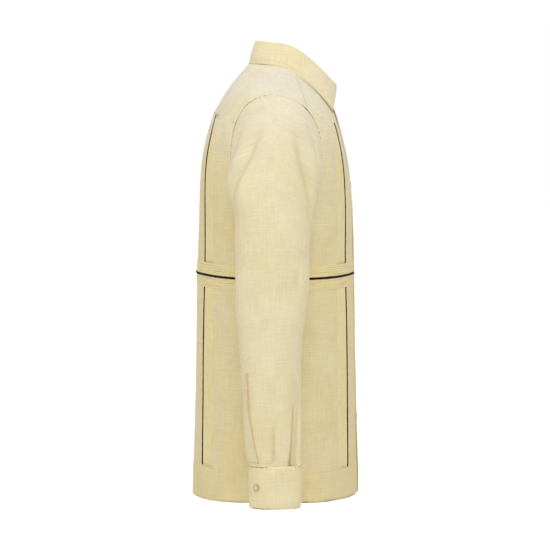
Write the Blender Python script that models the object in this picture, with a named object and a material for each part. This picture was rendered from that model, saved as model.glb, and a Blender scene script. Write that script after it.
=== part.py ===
"""Long-sleeve linen shirt, worn by nobody, with pin-tuck strips, piping and a tucked waist band.

Metres, +Z up, front towards -Y, the wearer's right towards -X. The origin is the middle of the neck at the
height where the shoulders carry the shirt.
"""
import math
from collections import namedtuple
from functools import lru_cache

import bpy
import numpy as np

# driving sizes
CLOTH = 0.0016
GAP = 0.0003
TRIM = 0.00018
STRIP_THICK = 0.0010
TUCK_RISE = 0.0006
TUCK_CREST = 0.35
TUCKS_ON_STRIP = 10
TUCKS_ON_BAND = 10
PIPING_RISE = 0.0017
HEM_RISE = 0.0009
STAND_THICK = 0.0020
LEAF_THICK = 0.0018
CUFF_THICK = 0.0024
BUTTON_RADIUS = 0.0055
BUTTON_THICK = 0.0019
BUTTON_SEAT = 0.0025

HEM_TOP = 0.070
ARMPIT = 0.640
YOKE_SEAM = 0.820
SHOULDER = 0.890
NECK = 1.0

WAIST_LOW = -0.3650
WAIST_PIPING = (-0.3470, -0.3438)
WAIST_HIGH = -0.3255

STRIP_COLUMNS = (0.1040, 0.1072, 0.1240, 0.1415)
REST_COLUMNS = 4
BUTTON_HEIGHTS = (-0.105, -0.195, -0.285, -0.410, -0.500, -0.590)
PLACKET_HALF = 0.0175

# Rings of the body from hem to neckline: where each crosses the back, the side and the front.
Ring = namedtuple("Ring", "t back_y back_z side_x side_y side_z front_y front_z power")
BODY = [
    Ring(0.000, 0.1410, -0.7205, 0.2100, 0.000, -0.7110, -0.1392, -0.7190, 2.00),
    Ring(0.070, 0.1402, -0.6700, 0.2095, 0.000, -0.6695, -0.1400, -0.6700, 2.00),
    Ring(0.250, 0.1372, -0.5500, 0.2070, 0.000, -0.5500, -0.1376, -0.5500, 2.00),
    Ring(0.500, 0.1339, -0.3450, 0.2050, 0.000, -0.3435, -0.1340, -0.3455, 2.05),
    Ring(0.640, 0.1303, -0.2420, 0.2120, 0.000, -0.2500, -0.1310, -0.2500, 2.15),
    Ring(0.730, 0.1255, -0.1540, 0.2150, -0.002, -0.1750, -0.1245, -0.1680, 2.30),
    Ring(0.820, 0.1045, -0.0723, 0.2120, -0.003, -0.1065, -0.1140, -0.1180, 2.40),
    Ring(0.890, 0.0840, -0.0370, 0.2000, -0.003, -0.0410, -0.1060, -0.0890, 2.30),
    Ring(0.945, 0.0645, -0.0100, 0.1380, -0.005, -0.0165, -0.1000, -0.0700, 2.15),
    Ring(1.000, 0.0420, 0.0150, 0.0655, -0.012, 0.0085, -0.0945, -0.0530, 2.00),
]

# Top edge of the collar stand, as one more ring over the neckline.
STAND_TOP = Ring(1.1, 0.0310, 0.0470, 0.0600, -0.018, 0.0400, -0.1000, -0.0265, 2.00)

# Edge of the armhole: how far round from the side, as a share of the way to the back and the front.
Armhole = namedtuple("Armhole", "turn back front")
ARMHOLE = [
    Armhole(0, 0.000, 0.000),
    Armhole(15, 0.155, 0.155),
    Armhole(30, 0.305, 0.300),
    Armhole(45, 0.435, 0.430),
    Armhole(60, 0.530, 0.540),
    Armhole(75, 0.595, 0.610),
    Armhole(90, 0.630, 0.645),
    Armhole(105, 0.643, 0.662),
    Armhole(120, 0.635, 0.652),
    Armhole(135, 0.570, 0.590),
    Armhole(150, 0.430, 0.490),
    Armhole(165, 0.240, 0.310),
    Armhole(180, 0.000, 0.000),
]
FRONT_TURNS = [0, 18, 36, 54, 72, 90, 110, 130, 150, 165, 180]
BACK_YOKE_TURN = 116.1
BACK_TURNS = [0, 18, 36, 54, 74, 95, BACK_YOKE_TURN, 135, 150, 165, 180]
FRONT_YOKE_TURN = 150

# Rings of the hanging sleeve below the armpit.
SleeveRing = namedtuple("SleeveRing", "z rear front inner outer power")
SLEEVE = [
    SleeveRing(-0.300, 0.0655, -0.0590, 0.2225, 0.3100, 2.10),
    SleeveRing(-0.350, 0.0668, -0.0570, 0.2235, 0.3105, 2.10),
    SleeveRing(-0.390, 0.0656, -0.0545, 0.2240, 0.3110, 2.10),
    SleeveRing(-0.430, 0.0603, -0.0478, 0.2245, 0.3105, 2.10),
    SleeveRing(-0.470, 0.0575, -0.0440, 0.2250, 0.3100, 2.10),
    SleeveRing(-0.510, 0.0530, -0.0428, 0.2255, 0.3095, 2.10),
    SleeveRing(-0.550, 0.0510, -0.0422, 0.2260, 0.3090, 2.10),
    SleeveRing(-0.590, 0.0500, -0.0415, 0.2270, 0.3080, 2.10),
    SleeveRing(-0.620, 0.0478, -0.0408, 0.2300, 0.3060, 2.10),
    SleeveRing(-0.635, 0.0445, -0.0400, 0.2350, 0.3035, 2.10),
]
CUFF_TOP = SleeveRing(-0.6400, 0.0440, -0.0403, 0.2350, 0.3030, 2.20)
CUFF_BOTTOM = SleeveRing(-0.7090, 0.0428, -0.0400, 0.2370, 0.3010, 2.20)

SLEEVE_HEIGHTS = (-0.635, -0.620, -0.590, -0.555, -0.522, -0.490, -0.455, -0.420, -0.380, -0.340)

# Soft folds of the sleeve: middle line from (turn, z) to (turn, z), half width in degrees, depth.
Fold = namedtuple("Fold", "turn_a z_a turn_b z_b width depth")
SLEEVE_FOLDS = [
    Fold(215, -0.120, 262, -0.225, 15, -0.0078),
    Fold(150, -0.135, 112, -0.235, 14, -0.0072),
    Fold(186, -0.150, 176, -0.290, 20, 0.0050),
    Fold(72, -0.265, 138, -0.330, 18, -0.0050),
    Fold(250, -0.400, 170, -0.445, 20, -0.0035),
    Fold(20, -0.330, 75, -0.420, 18, -0.0050),
    Fold(123, -0.530, 139, -0.650, 11, -0.0085),
    Fold(184, -0.545, 184, -0.650, 8, -0.0045),
    Fold(320, -0.300, 300, -0.420, 18, -0.0040),
]

# Lower edge of the collar leaf on the wearer's right, by the angle of the stand above it.
LeafEdge = namedtuple("LeafEdge", "angle x y z")
LEAF = [
    LeafEdge(8, 0.0460, -0.0980, -0.0688),
    LeafEdge(20, 0.0590, -0.0880, -0.0590),
    LeafEdge(35, 0.0690, -0.0720, -0.0425),
    LeafEdge(50, 0.0745, -0.0550, -0.0260),
    LeafEdge(65, 0.0765, -0.0360, -0.0095),
    LeafEdge(80, 0.0755, -0.0180, 0.0030),
    LeafEdge(95, 0.0725, -0.0005, 0.0090),
    LeafEdge(110, 0.0670, 0.0150, 0.0115),
    LeafEdge(125, 0.0580, 0.0272, 0.0125),
    LeafEdge(140, 0.0455, 0.0365, 0.0125),
    LeafEdge(155, 0.0305, 0.0420, 0.0120),
    LeafEdge(168, 0.0160, 0.0446, 0.0115),
    LeafEdge(180, 0.0000, 0.0452, 0.0112),
]
# Fold of the leaf over the stand: out from the stand's outer face and up from its top edge.
LEAF_FOLD_OUTER = ((-0.0018, 0.0006), (-0.0006, 0.0038), (0.0032, 0.0030))
LEAF_FOLD_INNER = ((0.0001, 0.0006), (0.0008, 0.0012), (0.0015, 0.0002))


def smooth_value(rows, key, column, at):
    """Value of a column at a key, on a smooth curve through the rows that never overshoots."""
    keys = np.array([getattr(row, key) for row in rows], float)
    values = np.array([getattr(row, column) for row in rows], float)
    if keys[0] > keys[-1]:
        keys, values = keys[::-1], values[::-1]
    steps = np.diff(keys)
    secants = np.diff(values) / steps
    slopes = np.zeros(len(keys))
    slopes[0], slopes[-1] = secants[0], secants[-1]
    for i in range(1, len(keys) - 1):
        if secants[i - 1] * secants[i] > 0:
            slopes[i] = 2 * secants[i - 1] * secants[i] / (secants[i - 1] + secants[i])
    i = int(np.clip(np.searchsorted(keys, at) - 1, 0, len(steps) - 1))
    s = (at - keys[i]) / steps[i]
    s = min(max(s, 0.0), 1.0)
    rise = values[i] * (1 + 2 * s) * (1 - s) ** 2 + values[i + 1] * s * s * (3 - 2 * s)
    return rise + steps[i] * (slopes[i] * s * (1 - s) ** 2 - slopes[i + 1] * s * s * (1 - s))


@lru_cache(maxsize=None)
def body_ring(t):
    """The ring of the body at t, with every column read off the table."""
    return Ring(t, *[smooth_value(BODY, "t", name, t) for name in Ring._fields[1:]])


def ring_point(ring, angle):
    """A point of a ring on the wearer's right: 0 degrees at the front middle, 180 at the back middle."""
    turn = math.radians(angle)
    across = max(math.sin(turn), 0.0) ** (2 / ring.power)
    along = abs(math.cos(turn)) ** (2 / ring.power)
    end_y, end_z = (ring.front_y, ring.front_z) if angle < 90 else (ring.back_y, ring.back_z)
    y = ring.side_y + (end_y - ring.side_y) * along
    z = ring.side_z + (end_z - ring.side_z) * along ** 1.5
    return np.array([-ring.side_x * across, y, z])


def body_fold(point):
    """How far the body cloth swells out or sinks at a point: broad soft waves of a loose shirt."""
    x, y, z = point
    low = min(max((-0.16 - z) / 0.20, 0.0), 1.0)
    return 0.0012 * low * math.cos(30 * x) * math.cos(9 * z + 1.0)


def body_point(t, angle):
    return ring_point(body_ring(min(max(t, 0.0), 1.0)), angle)


def body_normal(t, angle):
    """Outward direction of the body surface at t and angle."""
    low, high = max(t - 0.004, 0.0), min(t + 0.004, 1.0)
    left, right = max(angle - 0.6, 0.0), min(angle + 0.6, 180.0)
    if angle <= 90:
        right = min(right, 89.99)
    else:
        left = max(left, 90.01)
    if abs(angle - 90) < 0.02:
        left, right = 89.0, 91.0
    up = body_point(high, angle) - body_point(low, angle)
    along = body_point(t, right) - body_point(t, left)
    normal = np.cross(up, along)
    return normal / np.linalg.norm(normal)


def angle_at_share(t, share, at_back):
    """Angle where a ring has gone this share of the way from the side to the back or front middle."""
    power = body_ring(t).power
    turn = math.degrees(math.acos(min(share, 1.0) ** (power / 2)))
    return 180 - turn if at_back else turn


def angles_at_distances(t, distances, at_back):
    """Angles that lie these distances round from the back or front middle."""
    sweep = np.linspace(180, 90, 121) if at_back else np.linspace(0, 90, 121)
    ring = body_ring(t)
    points = np.array([ring_point(ring, a) for a in sweep])
    run = np.concatenate([[0], np.cumsum(np.linalg.norm(np.diff(points, axis=0), axis=1))])
    return np.interp(distances, run, sweep)


def run_to_angle(t, angle, at_back):
    """Distance round from the back or front middle to an angle."""
    sweep = np.linspace(180 if at_back else 0, angle, 101)
    ring = body_ring(t)
    points = np.array([ring_point(ring, a) for a in sweep])
    return float(np.linalg.norm(np.diff(points, axis=0), axis=1).sum())


def armhole_t(turn):
    middle, half = (SHOULDER + ARMPIT) / 2, (SHOULDER - ARMPIT) / 2
    return middle - half * math.cos(math.radians(turn))


def armhole_angle(turn, at_back):
    share = smooth_value(ARMHOLE, "turn", "back" if at_back else "front", turn)
    return angle_at_share(armhole_t(turn), share, at_back)


def t_at_height(z):
    """Ring whose side lies at this height."""
    levels = np.linspace(0, ARMPIT, 600)
    heights = [smooth_value(BODY, "t", "side_z", t) for t in levels]
    return float(np.interp(z, heights, levels))


def surface(t, angle):
    """Outer point and outward direction of the body at t and angle, folds included."""
    normal = body_normal(t, angle)
    point = body_point(t, angle)
    return point + normal * body_fold(point), normal


class Sheet:
    """A grid of outer points and outward directions: rows run up the piece, columns round it."""

    def __init__(self, points, normals):
        self.points = np.array(points, float)
        self.normals = np.array(normals, float)

    def mirrored(self):
        flip = np.array([-1, 1, 1])
        return Sheet(self.points[:, ::-1] * flip, self.normals[:, ::-1] * flip)

    def joined(self, other):
        """This sheet and one that goes on from its last column."""
        points = np.concatenate([self.points, other.points[:, 1:]], axis=1)
        return Sheet(points, np.concatenate([self.normals, other.normals[:, 1:]], axis=1))

    def part(self, rows, columns):
        return Sheet(self.points[rows][:, columns], self.normals[rows][:, columns])

    def turned(self):
        """The same sheet with its rows as columns."""
        return Sheet(self.points.transpose(1, 0, 2), self.normals.transpose(1, 0, 2))

    def moved(self, distance):
        return Sheet(self.points + self.normals * distance, self.normals)

    def trimmed(self, bottom=0.0, right=0.0, top=0.0, left=0.0):
        """The sheet with each edge drawn in by a distance."""
        points = self.points.copy()
        for amount, edge, inner in ((bottom, 0, 1), (top, -1, -2)):
            step = points[inner] - points[edge]
            points[edge] += step * (amount / np.linalg.norm(step, axis=1))[:, None]
        for amount, edge, inner in ((left, 0, 1), (right, -1, -2)):
            step = points[:, inner] - points[:, edge]
            points[:, edge] += step * (amount / np.linalg.norm(step, axis=1))[:, None]
        return Sheet(points, self.normals)


def tucked(sheet, tucks):
    """The sheet cut finer across its columns, and how far each new column rises on a row of tucks."""
    steps = np.linalg.norm(np.diff(sheet.points, axis=1), axis=2).mean(axis=0)
    run = np.concatenate([[0], np.cumsum(steps)]) / steps.sum()
    shares, rises = [0.0], [0.0]
    for k in range(tucks):
        shares += [(k + TUCK_CREST) / tucks, (k + 1) / tucks]
        rises += [TUCK_RISE, 0.0]
    points, normals = [], []
    for share in shares:
        i = min(int(np.searchsorted(run, share, side="right")) - 1, len(run) - 2)
        part = (share - run[i]) / (run[i + 1] - run[i])
        points.append(sheet.points[:, i] * (1 - part) + sheet.points[:, i + 1] * part)
        normals.append(sheet.normals[:, i] * (1 - part) + sheet.normals[:, i + 1] * part)
    return Sheet(np.stack(points, axis=1), np.stack(normals, axis=1)), np.array(rises)[None, :, None]


def add_mesh(name, points, faces, material, smooth=True):
    mesh = bpy.data.meshes.new(name)
    mesh.from_pydata([tuple(p) for p in points], [], faces)
    mesh.materials.append(material)
    mesh.polygons.foreach_set("use_smooth", [smooth] * len(mesh.polygons))
    mesh.update()
    built = bpy.data.objects.new(name, mesh)
    bpy.context.scene.collection.objects.link(built)
    return built


def grid_faces(grid, closed=False):
    """Triangles of a grid of points; closed joins the last column to the first.

    A quad is cut along the usual diagonal, or along the other one where that is much shorter.
    """
    rows, columns = grid.shape[:2]
    points = grid.reshape(-1, 3)
    faces = []
    for r in range(rows - 1):
        for c in range(columns if closed else columns - 1):
            a, b = r * columns + c, r * columns + (c + 1) % columns
            e, f = a + columns, b + columns
            if np.linalg.norm(points[b] - points[e]) < 0.8 * np.linalg.norm(points[a] - points[f]):
                faces += [(a, b, e), (b, f, e)]
            else:
                faces += [(a, b, f), (a, f, e)]
    return faces


def add_wall(name, outer, inner, material, closed=False):
    """A closed wall between two like grids of points; closed joins the last column to the first."""
    rows, columns = outer.shape[:2]
    count = rows * columns
    points = np.concatenate([outer.reshape(-1, 3), inner.reshape(-1, 3)])
    faces = grid_faces(outer, closed)
    faces += [(count + i, count + k, count + j) for i, j, k in faces]
    for c in range(columns if closed else columns - 1):
        a, b = c, (c + 1) % columns
        faces += [(a, count + b, b), (a, count + a, count + b)]
        a, b = (rows - 1) * columns + c, (rows - 1) * columns + (c + 1) % columns
        faces += [(a, b, count + b), (a, count + b, count + a)]
    if not closed:
        for r in range(rows - 1):
            a, b = r * columns, (r + 1) * columns
            faces += [(a, b, count + b), (a, count + b, count + a)]
            a, b = r * columns + columns - 1, (r + 1) * columns + columns - 1
            faces += [(a, count + b, b), (a, count + a, count + b)]
    return add_mesh(name, points, faces, material)


def add_cloth(name, sheet, material, low=-CLOTH, high=0.0, closed=False):
    """A wall of cloth on a sheet, from low to high along its outward directions."""
    return add_wall(name, sheet.moved(high).points, sheet.moved(low).points, material, closed)


def add_tucks(name, sheet, material, base, tucks, across_rows=False):
    """A strip of tucks on a sheet: ridges along its outer side over a plain inside."""
    if across_rows:
        sheet = sheet.turned()
    fine, rises = tucked(sheet, tucks)
    outer = fine.moved(base + STRIP_THICK).points + fine.normals * rises
    inner = sheet.moved(base).points
    rows, wide, plain = outer.shape[0], outer.shape[1], inner.shape[1]
    count = rows * wide
    points = np.concatenate([outer.reshape(-1, 3), inner.reshape(-1, 3)])
    faces = grid_faces(outer)
    faces += [(count + i, count + k, count + j) for i, j, k in grid_faces(inner)]
    for r in range(rows - 1):
        a, b = r * wide, (r + 1) * wide
        c, d = count + r * plain, count + (r + 1) * plain
        faces += [(a, b, d), (a, d, c)]
        a, b, c, d = a + wide - 1, b + wide - 1, c + plain - 1, d + plain - 1
        faces += [(a, d, b), (a, c, d)]
    first, last = end_faces(0, count, wide, plain), end_faces(count - wide, len(points) - plain, wide, plain)
    faces += [(i, k, j) for i, j, k in first] + last
    if across_rows:
        faces = [face[::-1] for face in faces]
    return add_mesh(name, points, faces, material)


def end_faces(outer, inner, wide, plain):
    """Triangles between a row of outer points and a shorter row of inner ones, from their indices."""
    faces = []
    k = 0
    for i in range(wide - 1):
        faces.append((outer + i, outer + i + 1, inner + k))
        if k < plain - 1 and (i + 1) * (plain - 1) >= (k + 0.5) * (wide - 1):
            faces.append((outer + i + 1, inner + k + 1, inner + k))
            k += 1
    return faces


def add_cord(name, sheet, material, base, rise):
    """Piping along a sheet of two columns or two rows: flat underneath, round on top."""
    a, b = sheet.moved(base), sheet.moved(base + rise * 0.62)
    top = sheet.moved(base + rise).points
    if sheet.points.shape[1] == 2:
        middle = top.mean(axis=1, keepdims=True)
        outer = np.concatenate([b.points[:, :1], middle, b.points[:, 1:]], axis=1)
        low = a.points
        inner = np.concatenate([low[:, :1], low.mean(axis=1, keepdims=True), low[:, 1:]], axis=1)
    else:
        middle = top.mean(axis=0, keepdims=True)
        outer = np.concatenate([b.points[:1], middle, b.points[1:]], axis=0)
        low = a.points
        inner = np.concatenate([low[:1], low.mean(axis=0, keepdims=True), low[1:]], axis=0)
    return add_wall(name, outer, inner, material)


def make_material(name, colour, roughness):
    material = bpy.data.materials.new(name)
    material.use_nodes = True
    shader = material.node_tree.nodes["Principled BSDF"]
    shader.inputs["Base Color"].default_value = (*colour, 1)
    shader.inputs["Roughness"].default_value = roughness
    material.diffuse_color = (*colour, 1)
    return material


def panel_rows(at_back):
    """Rows of a body panel from the hem up: t, and the angle of its outer edge."""
    rows = [(0.0, 90), (HEM_TOP, 90), (HEM_TOP + 0.003, 90)]
    rows += [(t, 90) for t in (0.16, 0.26, 0.35)]
    rows += [(t_at_height(z), 90) for z in (-0.410, WAIST_LOW, *WAIST_PIPING, WAIST_HIGH)]
    rows += [(t_at_height(z), 90) for z in (-0.300, -0.273)]
    turns = BACK_TURNS if at_back else FRONT_TURNS
    last = BACK_YOKE_TURN if at_back else FRONT_YOKE_TURN
    for turn in turns:
        if turn <= last:
            rows.append((armhole_t(turn), armhole_angle(turn, at_back) if turn else 90))
    if not at_back:
        start_t, start_angle = rows[-1]
        for share in (0.34, 0.67, 1.0):
            t = start_t + (NECK - start_t) * share
            rows.append((t, start_angle + (FRONT_YOKE_NECK_ANGLE - start_angle) * share))
    return rows


def column_distances(edge_run, first):
    """Distances from the middle for the columns of a panel whose edge lies at edge_run, first ones given."""
    squeeze = min(1.0, edge_run / 0.165)
    fixed = [d * squeeze for d in (*first, 0.034, 0.068, *STRIP_COLUMNS)]
    last = fixed[-1]
    halfway = min(0.187, (last + edge_run) / 2)
    return fixed + [(last + halfway) / 2, halfway, (halfway + edge_run) / 2, edge_run]


def half_panel(at_back, first):
    """Sheet of one half of the back or front on the wearer's right, from the middle to its outer edge."""
    points, normals = [], []
    for t, edge in panel_rows(at_back):
        distances = column_distances(run_to_angle(t, edge, at_back), first)
        angles = [*angles_at_distances(t, distances, at_back)[:-1], edge]
        made = [surface(t, angle) for angle in angles]
        points.append([p for p, n in made])
        normals.append([n for p, n in made])
    return Sheet(points, normals)


def yoke_half():
    """Sheet of the yoke on the wearer's right, from the back middle over the shoulder to the front."""
    low = []
    for turn in [a for a in FRONT_TURNS if a >= FRONT_YOKE_TURN]:
        low.append((armhole_t(turn), armhole_angle(turn, False) if turn < 180 else 90))
    for turn in [a for a in BACK_TURNS[::-1] if BACK_YOKE_TURN <= a < 180]:
        low.append((armhole_t(turn), armhole_angle(turn, True)))
    edge = low[-1][1]
    distances = column_distances(run_to_angle(YOKE_SEAM, edge, True), (0.0,))
    angles = angles_at_distances(YOKE_SEAM, distances, True)
    low[-1] = (YOKE_SEAM, edge)
    low += [(YOKE_SEAM, a) for a in angles[-2::-1]]
    first = low[0][1]
    seam = np.array([body_point(t, angle) for t, angle in low])
    run = np.concatenate([[0], np.cumsum(np.linalg.norm(np.diff(seam, axis=0), axis=1))])
    tops = [
        FRONT_YOKE_NECK_ANGLE
        + (180 - FRONT_YOKE_NECK_ANGLE) * (0.5 * (low[i][1] - first) / (180 - first) + 0.5 * run[i] / run[-1])
        for i in range(len(low))
    ]
    low, tops = low[::-1], tops[::-1]
    points, normals = [], []
    for share in (0.0, 0.34, 0.67, 1.0):
        row = []
        for (t, angle), top in zip(low, tops):
            row.append(surface(t + (NECK - t) * share, angle + (top - angle) * share))
        points.append([p for p, n in row])
        normals.append([n for p, n in row])
    return Sheet(points, normals)


def sleeve_ring_point(ring, turn):
    """A point of a sleeve ring: 0 degrees faces the body, 90 the front, 270 the back."""
    a = math.radians(turn)
    across, along = math.cos(a), math.sin(a)
    middle_x, half_x = (ring.inner + ring.outer) / 2, (ring.outer - ring.inner) / 2
    middle_y, half_y = (ring.rear + ring.front) / 2, (ring.rear - ring.front) / 2
    x = middle_x - half_x * math.copysign(abs(across) ** (2 / ring.power), across)
    y = middle_y - half_y * math.copysign(abs(along) ** (2 / ring.power), along)
    return np.array([-x, y, ring.z])


def sleeve_fold(turn, z):
    """How far the sleeve swells or sinks at a turn and a height."""
    total = 0.0
    for fold in SLEEVE_FOLDS:
        share = (z - fold.z_a) / (fold.z_b - fold.z_a)
        middle = fold.turn_a + (fold.turn_b - fold.turn_a) * min(max(share, 0.0), 1.0)
        fade = min(1.0, max(0.0, (share + 0.35) / 0.35)) * min(1.0, max(0.0, (1.35 - share) / 0.35))
        away = (turn - middle + 180) % 360 - 180
        total += fold.depth * fade * fade * (3 - 2 * fade) * math.exp(-((away / fold.width) ** 2))
    return total


def armhole_loop():
    """Points round the right armhole from the armpit up the front, over the shoulder and down the back."""
    loop = []
    for turn in FRONT_TURNS:
        angle = armhole_angle(turn, False) if 0 < turn < 180 else 90
        loop.append((turn, surface(armhole_t(turn), angle)[0]))
    for turn in BACK_TURNS[-2:0:-1]:
        loop.append((360 - turn, surface(armhole_t(turn), armhole_angle(turn, True))[0]))
    return loop


def placket_lean(turn, z):
    """Turn of a sleeve column at a height: the columns of the sleeve placket lean forwards near the cuff."""
    low = min(max((-0.555 - z) / 0.075, 0.0), 1.0)
    away = (turn - 234 + 180) % 360 - 180
    return turn + (3 - 17 * low) * math.exp(-((away / 30) ** 2)) * min(max((-0.40 - z) / 0.08, 0.0), 1.0)


def grid_normals(points, closed):
    """Outward directions of a grid from its own slopes."""
    if closed:
        along = np.roll(points, -1, axis=1) - np.roll(points, 1, axis=1)
    else:
        along = np.gradient(points, axis=1)
    up = np.gradient(points, axis=0)
    normals = np.cross(along, up)
    return normals / np.linalg.norm(normals, axis=2, keepdims=True)


def sleeve_sheet():
    """Sheet of the right sleeve: rows from the cuff up to the armhole, columns all round, and their turns."""
    loop = armhole_loop()[::-1]
    turns = [turn for turn, point in loop]
    edge = np.array([point for turn, point in loop])
    inward = edge.mean(axis=0) - edge
    inward[:, 0] = 0
    inward /= np.linalg.norm(inward, axis=1)[:, None]
    start = edge + inward * 0.0004 + np.array([-0.0007, 0, 0])
    lower = np.array([sleeve_ring_point(SLEEVE[0], turn) for turn in turns])
    head = []
    for s in (1.0, 0.84, 0.68, 0.52, 0.37, 0.23, 0.11, 0.035, 0.0):
        row = []
        for j, turn in enumerate(turns):
            reach = np.linalg.norm(lower[j] - start[j])
            top = 0.5 - 0.5 * math.cos(math.radians(turn))
            leave = np.array([-1.0, 0.0, -0.55 + 0.20 * top])
            leave *= reach * (0.70 + 0.20 * top) / np.linalg.norm(leave)
            arrive = np.array([0.0, 0.0, -reach])
            r = 1 - s
            point = start[j] * (1 + 2 * s) * r * r + lower[j] * s * s * (3 - 2 * s)
            row.append(point + leave * s * r * r - arrive * s * s * r)
        head.append(row)
    tube = []
    for z in (-0.6397, *SLEEVE_HEIGHTS):
        if z < -0.636:
            ring = CUFF_TOP._replace(z=z, rear=0.0434, front=-0.0397, inner=0.2356, outer=0.3024)
        else:
            ring = SleeveRing(z, *[smooth_value(SLEEVE, "z", name, z) for name in SleeveRing._fields[1:]])
        tube.append([sleeve_ring_point(ring, placket_lean(turn, z)) for turn in turns])
    points = np.array(tube + head)
    normals = grid_normals(points, True)
    for r in range(points.shape[0] - 1):
        for c, turn in enumerate(turns):
            points[r, c] += normals[r, c] * sleeve_fold(turn, points[r, c, 2])
    return Sheet(points, grid_normals(points, True)), turns


def cuff_sheet():
    """Sheet of the right cuff as an open band whose outer end laps over the inner one."""
    turns = [240, 252, 264, 276, 288, 302, 318, 334, 350, 366, 382, 398, 414, 430, 446, 462, 478]
    turns += [494, 510, 526, 542, 558, 574, 590, 602, 614, 626, 640]
    rows = []
    for share in (0.0, 0.5, 1.0):
        z = CUFF_BOTTOM.z + (CUFF_TOP.z - CUFF_BOTTOM.z) * share
        names = SleeveRing._fields[1:]
        ring = [getattr(CUFF_BOTTOM, n) * (1 - share) + getattr(CUFF_TOP, n) * share for n in names]
        ring = SleeveRing(z, *ring)
        row = []
        for turn in turns[::-1]:
            under = min(max((334 - turn) / 46, 0.0), 1.0)
            under = under * under * (3 - 2 * under)
            point = sleeve_ring_point(ring, turn)
            inside = np.array([-(ring.inner + ring.outer) / 2, (ring.rear + ring.front) / 2, z]) - point
            row.append(point + inside / np.linalg.norm(inside) * (CUFF_THICK + 0.0005) * under)
        rows.append(row)
    points = np.array(rows)
    return Sheet(points, grid_normals(points, False))


FRONT_YOKE_NECK_ANGLE = angle_at_share(NECK, 0.27, False)


def add_button(name, centre, outward, material):
    """A flat round button with a raised rim."""
    rim, dish = BUTTON_RADIUS, BUTTON_RADIUS * 0.66
    profile = [(rim * 0.94, 0.0), (rim, 0.0012), (rim * 0.84, BUTTON_THICK), (dish, BUTTON_THICK - 0.0007)]
    outward = outward / np.linalg.norm(outward)
    side = np.cross([0, 0, 1.0], outward)
    side /= np.linalg.norm(side)
    up = np.cross(outward, side)
    around = 12
    points, faces = [], []
    for radius, height in profile:
        for k in range(around):
            a = 2 * math.pi * k / around
            reach = side * math.cos(a) + up * math.sin(a)
            points.append(centre + reach * radius + outward * height)
    for r in range(len(profile) - 1):
        for k in range(around):
            n = (k + 1) % around
            faces.append((r * around + k, r * around + n, (r + 1) * around + n, (r + 1) * around + k))
    faces.append(tuple(range(around))[::-1])
    faces.append(tuple((len(profile) - 1) * around + k for k in range(around)))
    return add_mesh(name, points, faces, material, smooth=False)


def stand_sheet():
    """Sheet of the collar stand, from the wearer's left end over the front middle to the right end."""
    turns = [0, 8, 20, 35, 50, 65, 80, 95, 110, 125, 140, 155, 168, 180]
    path = [("right", 5), ("left", 0)] + [("left", a) for a in turns[1:]]
    path += [("right", a) for a in turns[-2:0:-1]] + [("right", 0), ("left", 5)]
    points = []
    for share in (0.0, 0.5, 1.0):
        row = []
        for i, (hand, angle) in enumerate(path):
            low = body_point(NECK, angle) + np.array([0, 0, 0.0005])
            point = low + (ring_point(STAND_TOP, angle) - low) * share
            out = stand_outward(angle)
            lap = lap_over(angle) if i < 15 else 0.0
            point = point + out * lap
            row.append(point * [-1, 1, 1] if hand == "left" else point)
        points.append(row)
    points = np.array(points)
    return Sheet(points, grid_normals(points, False))


def stand_outward(angle):
    """Level direction out of the collar at an angle."""
    a, b = ring_point(STAND_TOP, min(angle + 1, 180)), ring_point(STAND_TOP, max(angle - 1, 0))
    along = a - b
    out = np.array([-along[1], along[0], 0])
    out = out / np.linalg.norm(out)
    return out if angle > 0.5 else np.array([0, -1.0, 0])


def lap_over(angle):
    """How far the left end of the stand lies outside the right end at an angle."""
    share = min(max((50 - angle) / 30, 0.0), 1.0)
    return (STAND_THICK + 0.0006) * share * share * (3 - 2 * share)


def lifted_off_body(point, clearance):
    """The point, moved out where it is nearer to the shoulder or chest than the clearance."""
    samples = shoulder_samples()
    nearest = int(np.argmin(np.linalg.norm(samples[:, 0] - point, axis=1)))
    base, normal = samples[nearest]
    height = float(np.dot(point - base, normal))
    return point + normal * max(clearance - height, 0.0)


@lru_cache(maxsize=None)
def shoulder_samples():
    made = [surface(t, a) for t in np.linspace(0.86, 1.0, 36) for a in np.linspace(0, 180, 91)]
    return np.array(made)


def leaf_bulge(angle):
    """How far the leaf swells out halfway down: less at the front tips and at the flat back."""
    if angle < 15:
        return 0.0027
    return 0.0040 - 0.0028 * min(max((angle - 95) / 60, 0.0), 1.0)


def add_leaf(material):
    """The collar leaf: folded over the top of the stand and down to its lower edge."""
    outer, inner = [[] for _ in range(7)], [[] for _ in range(7)]
    hands = [("left", e) for e in LEAF] + [("right", e) for e in LEAF[-2::-1]]
    for hand, edge in hands:
        top = ring_point(STAND_TOP, edge.angle)
        out = stand_outward(edge.angle)
        if hand == "left":
            top = top + out * lap_over(edge.angle)
        up = np.array([0, 0, 1.0])
        section = [top + out * o + up * u for o, u in LEAF_FOLD_OUTER]
        lining = [top + out * o + up * u for o, u in LEAF_FOLD_INNER]
        low = np.array([-edge.x, edge.y, edge.z])
        reach = low - section[-1]
        away = np.cross(reach, np.cross(out, reach))
        away /= np.linalg.norm(away)
        for share in (0.32, 0.62, 0.86, 1.0):
            bulge = leaf_bulge(edge.angle) * share * (1 - share) * 4
            point = section[2] + reach * share + away * bulge
            section.append(lifted_off_body(point, LEAF_THICK + 0.0014))
            thick = LEAF_THICK + 0.0003 if share < 1 else LEAF_THICK
            lining.append(section[-1] - away * thick)
        for r in range(7):
            flip = [-1, 1, 1] if hand == "left" else [1, 1, 1]
            outer[r].append(section[r] * flip)
            inner[r].append(lining[r] * flip)
    outer, inner = np.array(outer)[:, ::-1], np.array(inner)[:, ::-1]
    return add_wall("collar_leaf", outer, inner, material)


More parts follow.
